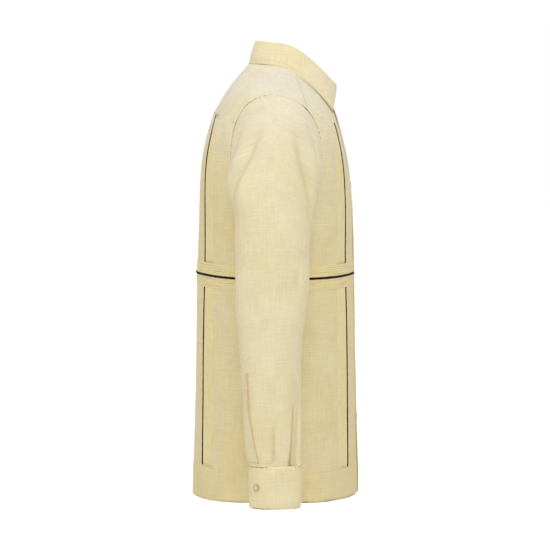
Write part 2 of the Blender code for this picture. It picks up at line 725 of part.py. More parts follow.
def build():
    for old in list(bpy.data.objects):
        bpy.data.objects.remove(old)

    linen = make_material("linen", (0.82, 0.72, 0.42), 0.85)
    navy = make_material("piping_navy", (0.015, 0.02, 0.05), 0.7)
    shell = make_material("button_linen", (0.80, 0.70, 0.48), 0.4)

    # sheets of the body; rows are shared by everything that lies on them
    back_half = half_panel(True, (0.0,))
    front_half = half_panel(False, (0.0, PLACKET_HALF))
    back = back_half.mirrored().joined(back_half)
    right = Sheet(front_half.points[:, ::-1], front_half.normals[:, ::-1])
    left = right.mirrored()

    def add_panel(name, sheet, **trims):
        inner = sheet.trimmed(**trims).moved(-CLOTH).points
        return add_wall(name, raised(sheet).trimmed(**trims).points, inner, linen)

    def raised(sheet):
        points = sheet.points.copy()
        points[:2] += sheet.normals[:2] * HEM_RISE
        return Sheet(points, sheet.normals)

    columns = right.points.shape[1]
    add_panel("back", back, left=TRIM, right=TRIM, top=TRIM)
    past = Sheet(
        np.concatenate([right.points, left.points[:, 1:2]], axis=1),
        np.concatenate([right.normals, left.normals[:, 1:2]], axis=1),
    )
    add_panel("front_right", past, left=TRIM, right=0.0010, top=TRIM)
    add_panel("front_left", left.part(slice(None), slice(1, None)), left=0.0, right=TRIM, top=TRIM)

    half = yoke_half()
    yoke = half.mirrored().joined(half)
    add_cloth("yoke", yoke.trimmed(left=TRIM, right=TRIM, top=TRIM, bottom=TRIM), linen)

    # placket
    middle = Sheet(
        np.concatenate([right.points[:, -2:], left.points[:, 1:2]], axis=1),
        np.concatenate([right.normals[:, -2:], left.normals[:, 1:2]], axis=1),
    )
    placket = raised(middle)
    add_cloth("front_placket", placket.trimmed(top=0.0030), linen, GAP + 0.0001, GAP + 0.0018)

    # tuck strips, waist bands and piping
    low_rows, band_rows, cord_rows = slice(2, 8), slice(7, 11), slice(8, 10)
    on_band = GAP + STRIP_THICK + TUCK_RISE + GAP
    edge = GAP + TRIM
    pieces = []
    for name, sheet, first, top in (
        ("back_right", back_half, 3, back_half.points.shape[0]),
        ("front_right", right, REST_COLUMNS - 1, right.points.shape[0] - 3),
    ):
        inward = name.startswith("back")
        cord = slice(first, first + 2) if inward else slice(first + 3, first + 5)
        strip = slice(first + 1, first + 4)
        for level, rows, top_trim, low_trim in (
            ("lower", low_rows, edge, 0.0008),
            ("upper", slice(10, top), 0.0006, edge),
        ):
            trims = dict(top=top_trim, bottom=low_trim)
            strip_part = sheet.part(rows, strip)
            cord_part = sheet.part(rows, cord)
            strip_trims = dict(trims, left=GAP) if inward else dict(trims, right=GAP)
            pieces.append((name, level, "tucks", strip_part.trimmed(**strip_trims)))
            pieces.append((name, level, "piping", cord_part.trimmed(**trims)))
    for name, level, kind, sheet in pieces:
        for made_name, made in ((name, sheet), (name.replace("right", "left"), sheet.mirrored())):
            if kind == "tucks":
                add_tucks(f"tucks_{made_name}_{level}", made, linen, GAP, TUCKS_ON_STRIP)
            else:
                add_cord(f"piping_{made_name}_{level}", made, navy, GAP, PIPING_RISE)
    bands = (
        ("back", back, dict(left=TRIM, right=TRIM)),
        ("front_right", right.part(slice(None), slice(0, columns - 1)), dict(left=TRIM, right=edge)),
        ("front_left", left.part(slice(None), slice(1, None)), dict(left=edge, right=TRIM)),
    )
    for name, sheet, trims in bands:
        band = sheet.part(band_rows, slice(None)).trimmed(**trims)
        add_tucks(f"waist_tucks_{name}", band, linen, GAP, TUCKS_ON_BAND, across_rows=True)
        add_cord(f"waist_piping_{name}", sheet.part(cord_rows, slice(None)).trimmed(**trims), navy,
                 on_band, PIPING_RISE)

    # collar
    add_cloth("collar_stand", stand_sheet(), linen, -STAND_THICK, 0.0)
    add_leaf(linen)

    # sleeves, their plackets and cuffs
    sleeve, turns = sleeve_sheet()
    cuff = cuff_sheet()
    start = turns.index(360 - 95)
    slit = sleeve.part(slice(1, 7), slice(start, start + 3))
    for hand in ("right", "left"):
        made = [sleeve, cuff, slit]
        if hand == "left":
            made = [sheet.mirrored() for sheet in made]
        add_cloth(f"sleeve_{hand}", made[0], linen, closed=True)
        add_cloth(f"cuff_{hand}", made[1], linen, -CUFF_THICK, 0.0)
        add_cloth(f"sleeve_placket_{hand}", made[2].trimmed(bottom=0.0006), linen, GAP, GAP + 0.0014)

    # buttons
    row_heights = middle.points[:, 1, 2]
    for number, z in enumerate(BUTTON_HEIGHTS, 1):
        centre = [float(np.interp(z, row_heights, middle.points[:, 1, k])) for k in range(3)]
        outward = [float(np.interp(z, row_heights, middle.normals[:, 1, k])) for k in (1, 2)]
        outward = np.array([0.0, *outward])
        add_button(f"button_{number}", np.array(centre) + outward * BUTTON_SEAT, outward, shell)
    stand_low, stand_high = body_point(NECK, 0), ring_point(STAND_TOP, 0)
    outward = np.cross(stand_high - stand_low, [-1.0, 0, 0])
    outward /= np.linalg.norm(outward)
    centre = (stand_low + stand_high) / 2 + outward * (lap_over(0) + 0.0004)
    add_button("button_collar", centre, outward, shell)
    for hand, flip in (("right", 1), ("left", -1)):
        at = [sleeve_ring_point(ring, 221) for ring in (CUFF_BOTTOM, CUFF_TOP)]
        outward = np.cross(sleeve_ring_point(CUFF_TOP, 219) - sleeve_ring_point(CUFF_TOP, 223), at[1] - at[0])
        outward /= np.linalg.norm(outward)
        centre = (at[0] + at[1]) / 2
        add_button(f"button_cuff_{hand}", centre * [flip, 1, 1], outward * [flip, 1, 1], shell)


build()
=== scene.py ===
# Long-sleeve linen shirt with pin tucks and navy piping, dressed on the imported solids.
# Metres, +Z up, the front faces -Y, the wearer's left is +X.
import math

import bmesh
import bpy
import numpy as np
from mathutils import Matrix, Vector
from mathutils.bvhtree import BVHTree
from mathutils.kdtree import KDTree


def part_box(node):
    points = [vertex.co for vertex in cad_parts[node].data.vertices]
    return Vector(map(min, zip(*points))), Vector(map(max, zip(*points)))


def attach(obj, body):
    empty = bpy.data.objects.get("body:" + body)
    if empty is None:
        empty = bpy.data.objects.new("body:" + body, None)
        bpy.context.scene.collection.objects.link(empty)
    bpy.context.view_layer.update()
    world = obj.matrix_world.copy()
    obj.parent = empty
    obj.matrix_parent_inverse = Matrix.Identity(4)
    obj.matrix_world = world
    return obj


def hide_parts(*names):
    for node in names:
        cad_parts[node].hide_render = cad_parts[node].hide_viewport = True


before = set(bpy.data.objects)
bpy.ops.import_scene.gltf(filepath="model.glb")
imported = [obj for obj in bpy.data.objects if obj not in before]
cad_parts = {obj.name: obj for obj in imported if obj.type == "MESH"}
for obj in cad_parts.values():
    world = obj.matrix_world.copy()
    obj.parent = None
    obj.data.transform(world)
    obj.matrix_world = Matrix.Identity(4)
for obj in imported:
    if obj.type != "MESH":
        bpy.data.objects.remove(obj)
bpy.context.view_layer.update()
bpy.ops.object.select_all(action="DESELECT")


# Room: soft white studio, camera on the wearer's right.
room = {
    "cameraAt": (-4.5, 0.0, -0.0974),
    "cameraAim": (0.0, 0.0, -0.3488),
    "lens": 172.5,
    "lightAim": (0.0, 0.0, -0.33),
    "floorHeight": -1.48,
    "floorRadius": 40.0,
    "floorGlow": 0.50,
    "backdrop": 1.0,  # what the camera sees round the shirt
    "sky": 0.73,  # what lights it
    "lights": (
        {"name": "keyLight", "at": (-3.6, -0.5, 1.4), "power": 40.0, "size": 2.4},
        {"name": "topLight", "at": (-0.5, 0.0, 2.3), "power": 9.0, "size": 1.8},
        {"name": "fillLight", "at": (-2.8, 2.2, 0.0), "power": 9.0, "size": 2.4},
    ),
}


# A material, its tree and its shader, with constants set on the shader.
def startMaterial(name, constants):
    material = bpy.data.materials.new(name)
    material.use_nodes = True
    shader = material.node_tree.nodes["Principled BSDF"]
    for socket, value in constants.items():
        shader.inputs[socket].default_value = value
    return material, material.node_tree, shader


# Places something that looks along -Z so that it looks at a point.
def addAimed(name, data, at, aim):
    holder = bpy.data.objects.new(name, data)
    holder.location = at
    holder.rotation_euler = (Vector(aim) - Vector(at)).to_track_quat("-Z", "Y").to_euler()
    bpy.context.scene.collection.objects.link(holder)
    return holder


def makeRoom():
    scene = bpy.context.scene
    scene.view_settings.view_transform = "Standard"
    camera = bpy.data.cameras.new("camera")
    camera.lens = room["lens"]
    camera.sensor_width = 36.0
    camera.clip_end = 100.0
    scene.camera = addAimed("camera", camera, room["cameraAt"], room["cameraAim"])

    world = bpy.data.worlds.new("studio")
    world.use_nodes = True
    nodes, links = world.node_tree.nodes, world.node_tree.links
    rays = nodes.new("ShaderNodeLightPath")
    either = nodes.new("ShaderNodeMixShader")
    links.new(rays.outputs["Is Camera Ray"], either.inputs["Fac"])
    sides = ((nodes["Background"], room["sky"]), (nodes.new("ShaderNodeBackground"), room["backdrop"]))
    for number, (side, strength) in enumerate(sides, 1):
        side.inputs["Color"].default_value = (1, 1, 1, 1)
        side.inputs["Strength"].default_value = strength
        links.new(side.outputs[0], either.inputs[number])
    links.new(either.outputs[0], nodes["World Output"].inputs["Surface"])
    scene.world = world
    for light in room["lights"]:
        lamp = bpy.data.lights.new(light["name"], "AREA")
        lamp.energy, lamp.size = light["power"], light["size"]
        addAimed(light["name"], lamp, light["at"], room["lightAim"])

    bpy.ops.mesh.primitive_circle_add(vertices=96, radius=room["floorRadius"], fill_type="NGON",
                                      location=(0, 0, room["floorHeight"]))
    floor = bpy.context.active_object
    floor.name = "floor"
    paint = startMaterial("floorPaint", {
        "Base Color": (0.95, 0.95, 0.95, 1), "Roughness": 0.9,
        "Emission Color": (1, 1, 1, 1), "Emission Strength": room["floorGlow"]})[0]
    floor.data.materials.append(paint)
    floor.visible_diffuse = False  # its glow is for the eye, and lights nothing
    floor.select_set(False)


makeRoom()
print("room done")


# Finishes.
# The layers value mixes pale to deep. It is partly the real doubled cloth and partly painted light: paler
# high up, where the light from above falls, and deeper lower down, where the cloth lies in shade.
linen = {
    "pale": (0.835, 0.775, 0.600),  # one layer, light goes through it
    "deep": (0.800, 0.668, 0.345),  # where the cloth lies double or has a lining, and painted shade on single cloth lower down
    "shade": (0.52, 0.29, 0.07),  # in the seams and under the folds
    "threadPitch": 0.00062,
    "slubAmount": 0.145,
    "blotchAmount": 0.080,
    "patchAmount": 0.35,
    "bumpDepth": 0.00018,
}


def newGroup(name, inputs, outputs):
    group = bpy.data.node_groups.new(name, "ShaderNodeTree")
    for socketName, kind, value in inputs:
        made = group.interface.new_socket(name=socketName, in_out="INPUT", socket_type=kind)
        if value is not None:
            made.default_value = value
    for socketName, kind in outputs:
        group.interface.new_socket(name=socketName, in_out="OUTPUT", socket_type=kind)
    return group, group.nodes.new("NodeGroupInput"), group.nodes.new("NodeGroupOutput")


def mathNode(tree, operation, a, b=None, c=None):
    made = tree.nodes.new("ShaderNodeMath")
    made.operation = operation
    for socket, value in zip(made.inputs, (a, b, c)):
        if value is None:
            continue
        if isinstance(value, (int, float)):
            socket.default_value = value
        else:
            tree.links.new(value, socket)
    return made.outputs[0]


def addBump(tree, shader, height, distance, strength=1.0):
    bump = tree.nodes.new("ShaderNodeBump")
    bump.inputs["Distance"].default_value = distance
    bump.inputs["Strength"].default_value = strength
    tree.links.new(height, bump.inputs["Height"])
    tree.links.new(bump.outputs["Normal"], shader.inputs["Normal"])


def noiseNode(tree, vector, scale, detail=2.0, stretch=None):
    made = tree.nodes.new("ShaderNodeTexNoise")
    made.inputs["Scale"].default_value = scale
    made.inputs["Detail"].default_value = detail
    if stretch is not None:
        mapping = tree.nodes.new("ShaderNodeMapping")
        mapping.inputs["Scale"].default_value = stretch
        tree.links.new(vector, mapping.inputs["Vector"])
        vector = mapping.outputs["Vector"]
    tree.links.new(vector, made.inputs["Vector"])
    return made.outputs["Fac"]


# Plain weave on a UV map in metres: slubbed threads both ways, gaps between them.
def makeWeaveGroup():
    group, given, put = newGroup(
        "linenWeave",
        [("Vector", "NodeSocketVector", None), ("Pitch", "NodeSocketFloat", 0.0006)],
        [("Tone", "NodeSocketFloat"), ("Height", "NodeSocketFloat")],
    )
    split = group.nodes.new("ShaderNodeSeparateXYZ")
    group.links.new(given.outputs["Vector"], split.inputs[0])
    vector, pitch = given.outputs["Vector"], given.outputs["Pitch"]
    wander = mathNode(group, "MULTIPLY", noiseNode(group, vector, 260.0, 1.0), 1.3)
    waves = []
    for axis in (0, 1):
        along = mathNode(group, "ADD", mathNode(group, "DIVIDE", split.outputs[axis], pitch), wander)
        waves.append(mathNode(group, "SINE", mathNode(group, "MULTIPLY", along, math.pi)))
    over = mathNode(group, "MULTIPLY", *waves)  # which thread is on top
    rib = mathNode(group, "MULTIPLY", *[mathNode(group, "ABSOLUTE", wave) for wave in waves])
    # slubs, thick places that run a few centimetres along a thread, thin and broad, both ways
    thin, broad = (
        mathNode(group, "ADD", *[noiseNode(group, vector, 1.0, detail, stretch) for stretch in stretches])
        for detail, stretches in (
            (2.0, ((900.0, 38.0, 1.0), (38.0, 900.0, 1.0))),
            (1.0, ((330.0, 22.0, 1.0), (22.0, 330.0, 1.0))),
        )
    )
    tone = mathNode(group, "MULTIPLY_ADD", thin, 1.1, mathNode(group, "MULTIPLY_ADD", broad, 0.9, -2.0))
    tone = mathNode(group, "MULTIPLY_ADD", mathNode(group, "SUBTRACT", rib, 0.4), 0.9, tone)
    group.links.new(tone, put.inputs["Tone"])
    height = mathNode(group, "ADD", mathNode(group, "MULTIPLY_ADD", over, 0.35, rib),
                      mathNode(group, "MULTIPLY", thin, 0.9))
    group.links.new(height, put.inputs["Height"])
    return group


weaveGroup = makeWeaveGroup()


def readAttribute(tree, name):
    made = tree.nodes.new("ShaderNodeAttribute")
    made.attribute_name = name
    return made.outputs["Fac"]


def mixTint(tree, factor, a, b):
    made = tree.nodes.new("ShaderNodeMix")
    made.data_type = "RGBA"
    colours = [s for s in made.inputs if s.type == "RGBA"]
    for socket, value in zip((made.inputs[0], *colours), (factor, a, b)):
        if isinstance(value, (int, float)):
            socket.default_value = value
        elif isinstance(value, tuple):
            socket.default_value = (*value, 1)
        else:
            tree.links.new(value, socket)
    return [s for s in made.outputs if s.type == "RGBA"][0]


# Reads the weave on a piece's own map, turned if it is cut on the bias.
def weaveOn(tree, pitch, turn=0.0):
    place = tree.nodes.new("ShaderNodeUVMap")
    place.uv_map = "weave"
    mapping = tree.nodes.new("ShaderNodeMapping")
    mapping.inputs["Rotation"].default_value = (0, 0, turn)
    tree.links.new(place.outputs["UV"], mapping.inputs["Vector"])
    weave = tree.nodes.new("ShaderNodeGroup")
    weave.node_tree = weaveGroup
    weave.inputs["Pitch"].default_value = pitch
    tree.links.new(mapping.outputs["Vector"], weave.inputs["Vector"])
    return place.outputs["UV"], weave.outputs["Tone"], weave.outputs["Height"]


def makeLinen():
    material, tree, shader = startMaterial("linenCloth", {
        "Specular IOR Level": 0.22, "Sheen Weight": 0.10, "Sheen Roughness": 0.55})
    place, weave, height = weaveOn(tree, linen["threadPitch"])
    # broad yellower and paler places, and smaller lighter and darker ones
    patch, blotch = (
        mathNode(tree, "MULTIPLY_ADD", noiseNode(tree, place, scale, detail), amount * 2, -amount)
        for scale, detail, amount in ((9.0, 2.0, linen["patchAmount"]), (26.0, 3.0, linen["blotchAmount"]))
    )
    # pale to deep by layers: doubled cloth, and painted light, paler high up and deeper in shade
    depth = mathNode(tree, "ADD", readAttribute(tree, "layers"), patch)
    base = mixTint(tree, depth, linen["pale"], linen["deep"])
    tone = mathNode(tree, "MULTIPLY_ADD", weave, linen["slubAmount"], blotch)
    bright = mathNode(tree, "ADD", mathNode(tree, "ADD", tone, readAttribute(tree, "bright")), 1.0)
    lit = tree.nodes.new("ShaderNodeVectorMath")
    lit.operation = "SCALE"
    tree.links.new(base, lit.inputs[0])
    tree.links.new(bright, lit.inputs["Scale"])
    shaded = mixTint(tree, readAttribute(tree, "shade"), lit.outputs[0], linen["shade"])
    tree.links.new(shaded, shader.inputs["Base Color"])
    tree.links.new(mathNode(tree, "MULTIPLY_ADD", weave, 0.06, 0.86), shader.inputs["Roughness"])
    addBump(tree, shader, height, linen["bumpDepth"], 0.55)
    return material


piping = {
    "colour": (0.005, 0.0045, 0.005),
    "light": (0.014, 0.012, 0.012),
    "threadPitch": 0.00042,
    "width": 0.0033,
    "upperWidth": 0.0027,
    "rise": 0.0018,
    "waistWidth": 0.0036,
    "waistRise": 0.0018,
}


def makePipingCloth():
    material, tree, shader = startMaterial("navyPiping", {"Roughness": 0.85, "Specular IOR Level": 0.15})
    place, weave, height = weaveOn(tree, piping["threadPitch"], math.radians(45))
    tone = mathNode(tree, "MULTIPLY_ADD", weave, 0.35, 0.35)
    tree.links.new(mixTint(tree, tone, piping["colour"], piping["light"]), shader.inputs["Base Color"])
    addBump(tree, shader, height, 0.00012, 0.5)
    return material


thread = {"colour": (0.78, 0.63, 0.32), "light": (0.86, 0.74, 0.46), "twistScale": 2400.0}


# Noise on Object coordinates, for small hard or twisted things.
def grainOn(tree, scale, detail):
    return noiseNode(tree, tree.nodes.new("ShaderNodeTexCoord").outputs["Object"], scale, detail)


def makeThread():
    material, tree, shader = startMaterial("sewingThread", {"Roughness": 0.55, "Sheen Weight": 0.2})
    grain = grainOn(tree, thread["twistScale"], 1.0)
    tree.links.new(mixTint(tree, grain, thread["colour"], thread["light"]), shader.inputs["Base Color"])
    addBump(tree, shader, grain, 0.00006)
    return material


button = {
    "radius": 0.0055,
    "thick": 0.0018,
    "pressed": 0.0019,  # how far the front's buttons sink into the cloth
    "rim": 0.0009,
    "dish": 0.0005,
    "holeRadius": 0.00062,
    "holeSpread": 0.00125,
    "colour": (0.72, 0.58, 0.33),
    "light": (0.86, 0.75, 0.50),
    # painted shade: a darker brown rim on each button for the ring of shadow round it
    "rimColour": (0.40, 0.25, 0.09),
    "rimFrom": (0.0040, 0.0054),  # distances from the middle
    "seat": 0.0003,  # how far the other buttons are set into the cloth
    "swirlScale": 420.0,
}


def makeButtonShell():
    material, tree, shader = startMaterial("buttonShell", {"Coat Weight": 0.25})
    swirl = grainOn(tree, button["swirlScale"], 3.0)
    face = mixTint(tree, swirl, button["colour"], button["light"])
    # darker brown rim: painted shade round the button
    tinted = mixTint(tree, readAttribute(tree, "rim"), face, button["rimColour"])
    tree.links.new(tinted, shader.inputs["Base Color"])
    tree.links.new(mathNode(tree, "MULTIPLY_ADD", swirl, 0.15, 0.24), shader.inputs["Roughness"])
    addBump(tree, shader, swirl, 0.00003)
    return material


linenCloth = makeLinen()
navyPiping = makePipingCloth()
sewingThread = makeThread()
buttonShell = makeButtonShell()
print("finishes done")


# Cloth from the solids.
def linkMesh(name, mesh, material):
    mesh.materials.clear()
    mesh.materials.append(material)
    made = bpy.data.objects.new(name, mesh)
    bpy.context.scene.collection.objects.link(made)
    return made


def applyModifiers(piece):
    bpy.ops.object.select_all(action="DESELECT")
    bpy.context.view_layer.objects.active = piece
    piece.select_set(True)
    for modifier in list(piece.modifiers):
        bpy.ops.object.modifier_apply(modifier=modifier.name)
    piece.select_set(False)


def pointsOf(mesh, what="co"):
    made = np.zeros(len(mesh.vertices) * 3)
    mesh.vertices.foreach_get(what, made)
    return made.reshape(-1, 3)


def setPoints(mesh, points):
    mesh.vertices.foreach_set("co", points.astype(np.float32).ravel())
    mesh.update()


def smoothMesh(name, points, faces):
    mesh = bpy.data.meshes.new(name)
    mesh.from_pydata(points.tolist(), [], faces)
    mesh.polygons.foreach_set("use_smooth", [True] * len(mesh.polygons))
    mesh.update()
    return mesh


# A smooth copy of a node's wall: doubles merged, triangles joined, its rims kept, then subdivided.
def cloth(nodeName, name, levels, creaseFrom=48, crease=1.0):
    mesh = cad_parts[nodeName].data.copy()
    mesh.name = name
    for extra in ("custom_normal", "sharp_edge", "sharp_face"):
        if extra in mesh.attributes:
            mesh.attributes.remove(mesh.attributes[extra])
    while mesh.uv_layers:
        mesh.uv_layers.remove(mesh.uv_layers[0])
    made = linkMesh(name, mesh, linenCloth)
    shape = bmesh.new()
    shape.from_mesh(mesh)
    bmesh.ops.remove_doubles(shape, verts=shape.verts, dist=0.00002)
    bmesh.ops.join_triangles(shape, faces=shape.faces, angle_face_threshold=math.radians(50),
                             angle_shape_threshold=math.radians(75))
    creases = shape.edges.layers.float.new("crease_edge")
    for edge in shape.edges:
        if len(edge.link_faces) != 2 or edge.calc_face_angle(0) > math.radians(creaseFrom):
            edge[creases] = crease
    shape.to_mesh(mesh)
    shape.free()
    mesh.polygons.foreach_set("use_smooth", [True] * len(mesh.polygons))
    smooth = made.modifiers.new("smooth", "SUBSURF")
    smooth.levels = levels
    smooth.render_levels = levels
    applyModifiers(made)
    if "crease_edge" in made.data.attributes:
        made.data.attributes.remove(made.data.attributes["crease_edge"])
    return made


def softSteps(low, high, value):
    share = np.clip((value - low) / (high - low), 0, 1)
    return share * share * (3 - 2 * share)


# 1 at distance 0, falling off smoothly over a width.
def hill(distance, width):
    return np.exp(-(distance / width) ** 2)


def unit(vectors):
    return vectors / np.maximum(np.linalg.norm(vectors, axis=-1, keepdims=True), 1e-9)


hands = {-1: "right", 1: "left"}  # by the sign of X


# Outward direction of the body and the yoke, roughly.
def awayFromBody(points):
    x, y, z = points.T
    made = unit(np.stack([x / 0.040, y / 0.0188, np.zeros(len(x))], axis=1))
    made[:, 2] += softSteps(-0.20, 0.0, z) * 1.1
    return unit(made)


sleeveAxis = {  # height, how far out, how far back: the middle of the arm
    "z": (-0.72, -0.62, -0.40, -0.22, -0.14, -0.05),
    "x": (0.269, 0.268, 0.267, 0.262, 0.235, 0.200),
    "y": (0.002, 0.003, 0.006, 0.003, 0.000, -0.003),
}


# Middle of the arm at a height; side is 1 on the wearer's left, -1 on the right.
def armPoint(z, side):
    heights = sleeveAxis["z"]
    x = np.interp(z, heights, sleeveAxis["x"]) * side
    y = np.interp(z, heights, sleeveAxis["y"])
    return np.stack([x, y, np.asarray(z, float) + np.zeros_like(x)], axis=-1)


def awayFromArm(points, side):
    made = points - armPoint(points[:, 2], side)
    made[:, 2] += softSteps(-0.20, -0.06, points[:, 2]) * 0.06
    return unit(made)


def awayFromNeck(points):
    made = points - np.array([0.0, -0.030, 0.0])
    made[:, 2] = 0.0
    return unit(made)


# Outward direction at each vertex, the same way on both faces of a wall.
def outward(mesh, rough):
    normals = pointsOf(mesh, "normal")
    agree = (normals * rough).sum(axis=1)
    weight = np.clip(np.abs(agree) * 2.0, 0, 1)[:, None]
    return unit(normals * np.sign(agree)[:, None] * weight + rough * (1 - weight))


# Gentle uneven swell between -1 and 1, the same on both faces of a wall.
def softWaves(points, seed, wavelength, count=9):
    random = np.random.default_rng(seed)
    total = np.zeros(len(points))
    for _ in range(count):
        direction = unit(random.normal(size=3))
        pitch = 2 * math.pi / (wavelength * random.uniform(0.7, 1.5))
        total += np.sin(points @ direction * pitch + random.uniform(0, 6.283))
    return total / math.sqrt(count * 2.0)


# Distance of each point from a path, and how far along the path it is, from 0 to 1.
def alongPath(points, path):
    best = np.full(len(points), 1e9)
    share = np.zeros(len(points))
    lengths = np.linalg.norm(np.diff(path, axis=0), axis=1)
    run = np.concatenate([[0], np.cumsum(lengths)])
    for i in range(len(path) - 1):
        step = path[i + 1] - path[i]
        t = np.clip(((points - path[i]) @ step) / max(step @ step, 1e-12), 0, 1)
        distance = np.linalg.norm(points - (path[i] + t[:, None] * step), axis=1)
        closer = distance < best
        best[closer] = distance[closer]
        share[closer] = (run[i] + t[closer] * lengths[i]) / run[-1]
    return best, share


# Something to cast rays at, from a piece as it is now.
def rayTree(piece):
    shape = bmesh.new()
    shape.from_mesh(piece.data)
    made = BVHTree.FromBMesh(shape)
    shape.free()
    return made


def setValue(mesh, name, values):
    made = mesh.attributes.get(name) or mesh.attributes.new(name, "FLOAT", "POINT")
    made.data.foreach_set("value", np.asarray(values, np.float32))


# The weave's map, in metres, from a value at each vertex.
def setUv(mesh, across, along):
    layer = mesh.uv_layers.get("weave") or mesh.uv_layers.new(name="weave")
    corners = np.zeros(len(mesh.loops), np.int32)
    mesh.loops.foreach_get("vertex_index", corners)
    flat = np.stack([across[corners], along[corners]], axis=1)
    layer.data.foreach_set("uv", flat.astype(np.float32).ravel())


# What the linen reads at each vertex, and what the piece stands for. Layers mixes pale to deep: doubled
# cloth, and painted light, paler high up and deeper in shade; shade mixes in the painted shade colour.
def finishCloth(piece, nodeName, layers, shade=0.0, bright=0.0):
    for name, values in (("layers", layers), ("shade", shade), ("bright", bright)):
        setValue(piece.data, name, np.full(len(piece.data.vertices), values))
    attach(piece, "root")
    if nodeName is not None:
        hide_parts(nodeName)


# Where a node meets others: its vertices that lie close to theirs.
def seamLine(nodeName, others, reach=0.0026):
    near = KDTree(sum(len(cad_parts[o].data.vertices) for o in others))
    index = 0
    for other in others:
        for point in pointsOf(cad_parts[other].data):
            near.insert(point, index)
            index += 1
    near.balance()
    own = np.unique(pointsOf(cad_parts[nodeName].data).round(5), axis=0)
    return np.array([p for p in own if near.find(p)[2] < reach])


# Points put in order by a key, near ones made one.
def tidyLine(points, key, gap=0.004):
    order = np.argsort(key)
    points = points[order]
    made = [[points[0]]]
    for p in points[1:]:
        if np.linalg.norm(p - np.mean(made[-1], axis=0)) < gap:
            made[-1].append(p)
        else:
            made.append([p])
    return np.array([np.mean(group, axis=0) for group in made])


# The line with points at an even step, on a smooth curve through its own.
def resample(line, step):
    line = np.asarray(line, float)
    run = np.concatenate([[0], np.cumsum(np.linalg.norm(np.diff(line, axis=0), axis=1))])
    count = max(int(round(run[-1] / step)), 2)
    at = np.linspace(0, run[-1], count + 1)
    slopes = np.gradient(line, run, axis=0)
    i = np.clip(np.searchsorted(run, at, side="right") - 1, 0, len(run) - 2)
    h = (run[i + 1] - run[i])[:, None]
    s = ((at - run[i])[:, None]) / h
    a, b = line[i], line[i + 1]
    ta, tb = slopes[i] * h, slopes[i + 1] * h
    return (a * (1 + 2 * s) * (1 - s) ** 2 + b * s * s * (3 - 2 * s)
            + ta * s * (1 - s) ** 2 - tb * s * s * (1 - s))


# The seam round an armhole, from the armpit up the front and down the back, closed.
def armholeLine(side):
    found = seamLine(f"sleeve_{hands[side]}", ["back", f"front_{hands[side]}", "yoke"])
    found = found[found[:, 2] > -0.26]
    middle = found.mean(axis=0)
    turn = np.arctan2(-(found[:, 1] - middle[1]), -(found[:, 2] - middle[2]))
    line = tidyLine(found, np.mod(turn, 2 * math.pi))
    return np.concatenate([line, line[:1]])


# Small gathers beside a seam, uneven in length and depth.
def pucker(points, away, line, reach, deep, pitch, seed):
    distance, share = alongPath(points, line)
    length = np.linalg.norm(np.diff(line, axis=0), axis=1).sum()
    run = share * length
    random = np.random.default_rng(seed)
    phase = random.uniform(0, 6.283, 3)
    ripple = np.sin(2 * math.pi * run / pitch + phase[0] + 1.4 * np.sin(run / (pitch * 1.7) + phase[1]))
    uneven = 0.65 + 0.35 * np.sin(run / (pitch * 2.6) + phase[2])
    near = hill(distance, reach * (0.75 + 0.25 * uneven))
    return points + away * (ripple * uneven * near * deep)[:, None], distance


armholes = {side: armholeLine(side) for side in (-1, 1)}


# Gathers a panel along both armholes, in place, and gives the shade and the light there.
def gatherArmholes(points, away, gather, seed):
    shade, bright = np.zeros(len(points)), np.zeros(len(points))
    for side in (-1, 1):
        near = points[:, 0] * side > 0.05
        if near.any():
            points[near], distance = pucker(points[near], away[near], armholes[side], gather["reach"],
                                            gather["deep"], gather["pitch"], seed)
            shade[near] = gather["shade"] * hill(distance, gather["shadeWide"])
            bright[near] = body["seamLight"] * hill(distance, 0.0035)
    return shade, bright


# Back and fronts.
body = {
    "levels": 3,
    "hemHeight": -0.6695,
    "hemRaise": ((0.0, 0.105, 0.220, 0.290), (0.0085, 0.0055, 0.0028, 0.0)),  # at distances from the middles
    # Tints by height, pale to deep, are painted light on the single cloth: paler high up under the light from
    # above, deeper lower down in shade.
    "backTints": ((-0.60, -0.30, -0.17, -0.125, -0.09), (0.85, 0.90, 0.90, 0.52, 0.30)),  # pale to deep
    "frontTints": ((-0.60, -0.30, -0.20, -0.11, -0.04), (0.88, 0.85, 0.74, 0.45, 0.20)),
    "hemTint": 0.97,
    "hemShade": 0.10,
    "hemGroove": 0.0006,  # the turned edge pulls in along its stitching
    "hemRipple": (0.00035, 0.021),  # height, length
    "hang": 0.0007,
    "swell": 0.0010,
    "swellLength": 0.22,
    "gather": {"reach": 0.010, "deep": 0.0005, "pitch": 0.0095, "shade": 0.04, "shadeWide": 0.0035},
    "seamLight": 0.14,  # the turned edges stand up to the light
    "underLeaf": (0.50, 0.75),  # shade and lost light under the collar's leaf
    "uvRadius": 0.177,
}


def bodyUv(points):
    turn = np.arctan2(points[:, 0] / 0.21, -points[:, 1] / 0.137)
    return turn * body["uvRadius"], points[:, 2]


# The collar leaf's edge on the wearer's right: from the front top to the tip, and round to the back middle.
collarEdge = (
    (-0.0330, -0.1020, -0.0180), (-0.0405, -0.1005, -0.0480), (-0.0460, -0.0980, -0.0688),
    (-0.0590, -0.0880, -0.0590), (-0.0690, -0.0720, -0.0425), (-0.0745, -0.0550, -0.0260),
    (-0.0765, -0.0360, -0.0095), (-0.0755, -0.0180, 0.0030), (-0.0725, -0.0005, 0.0090),
    (-0.0670, 0.0150, 0.0115), (-0.0580, 0.0272, 0.0125), (-0.0455, 0.0365, 0.0125),
    (-0.0305, 0.0420, 0.0120), (-0.0160, 0.0446, 0.0115), (0.0, 0.0452, 0.0112),
)


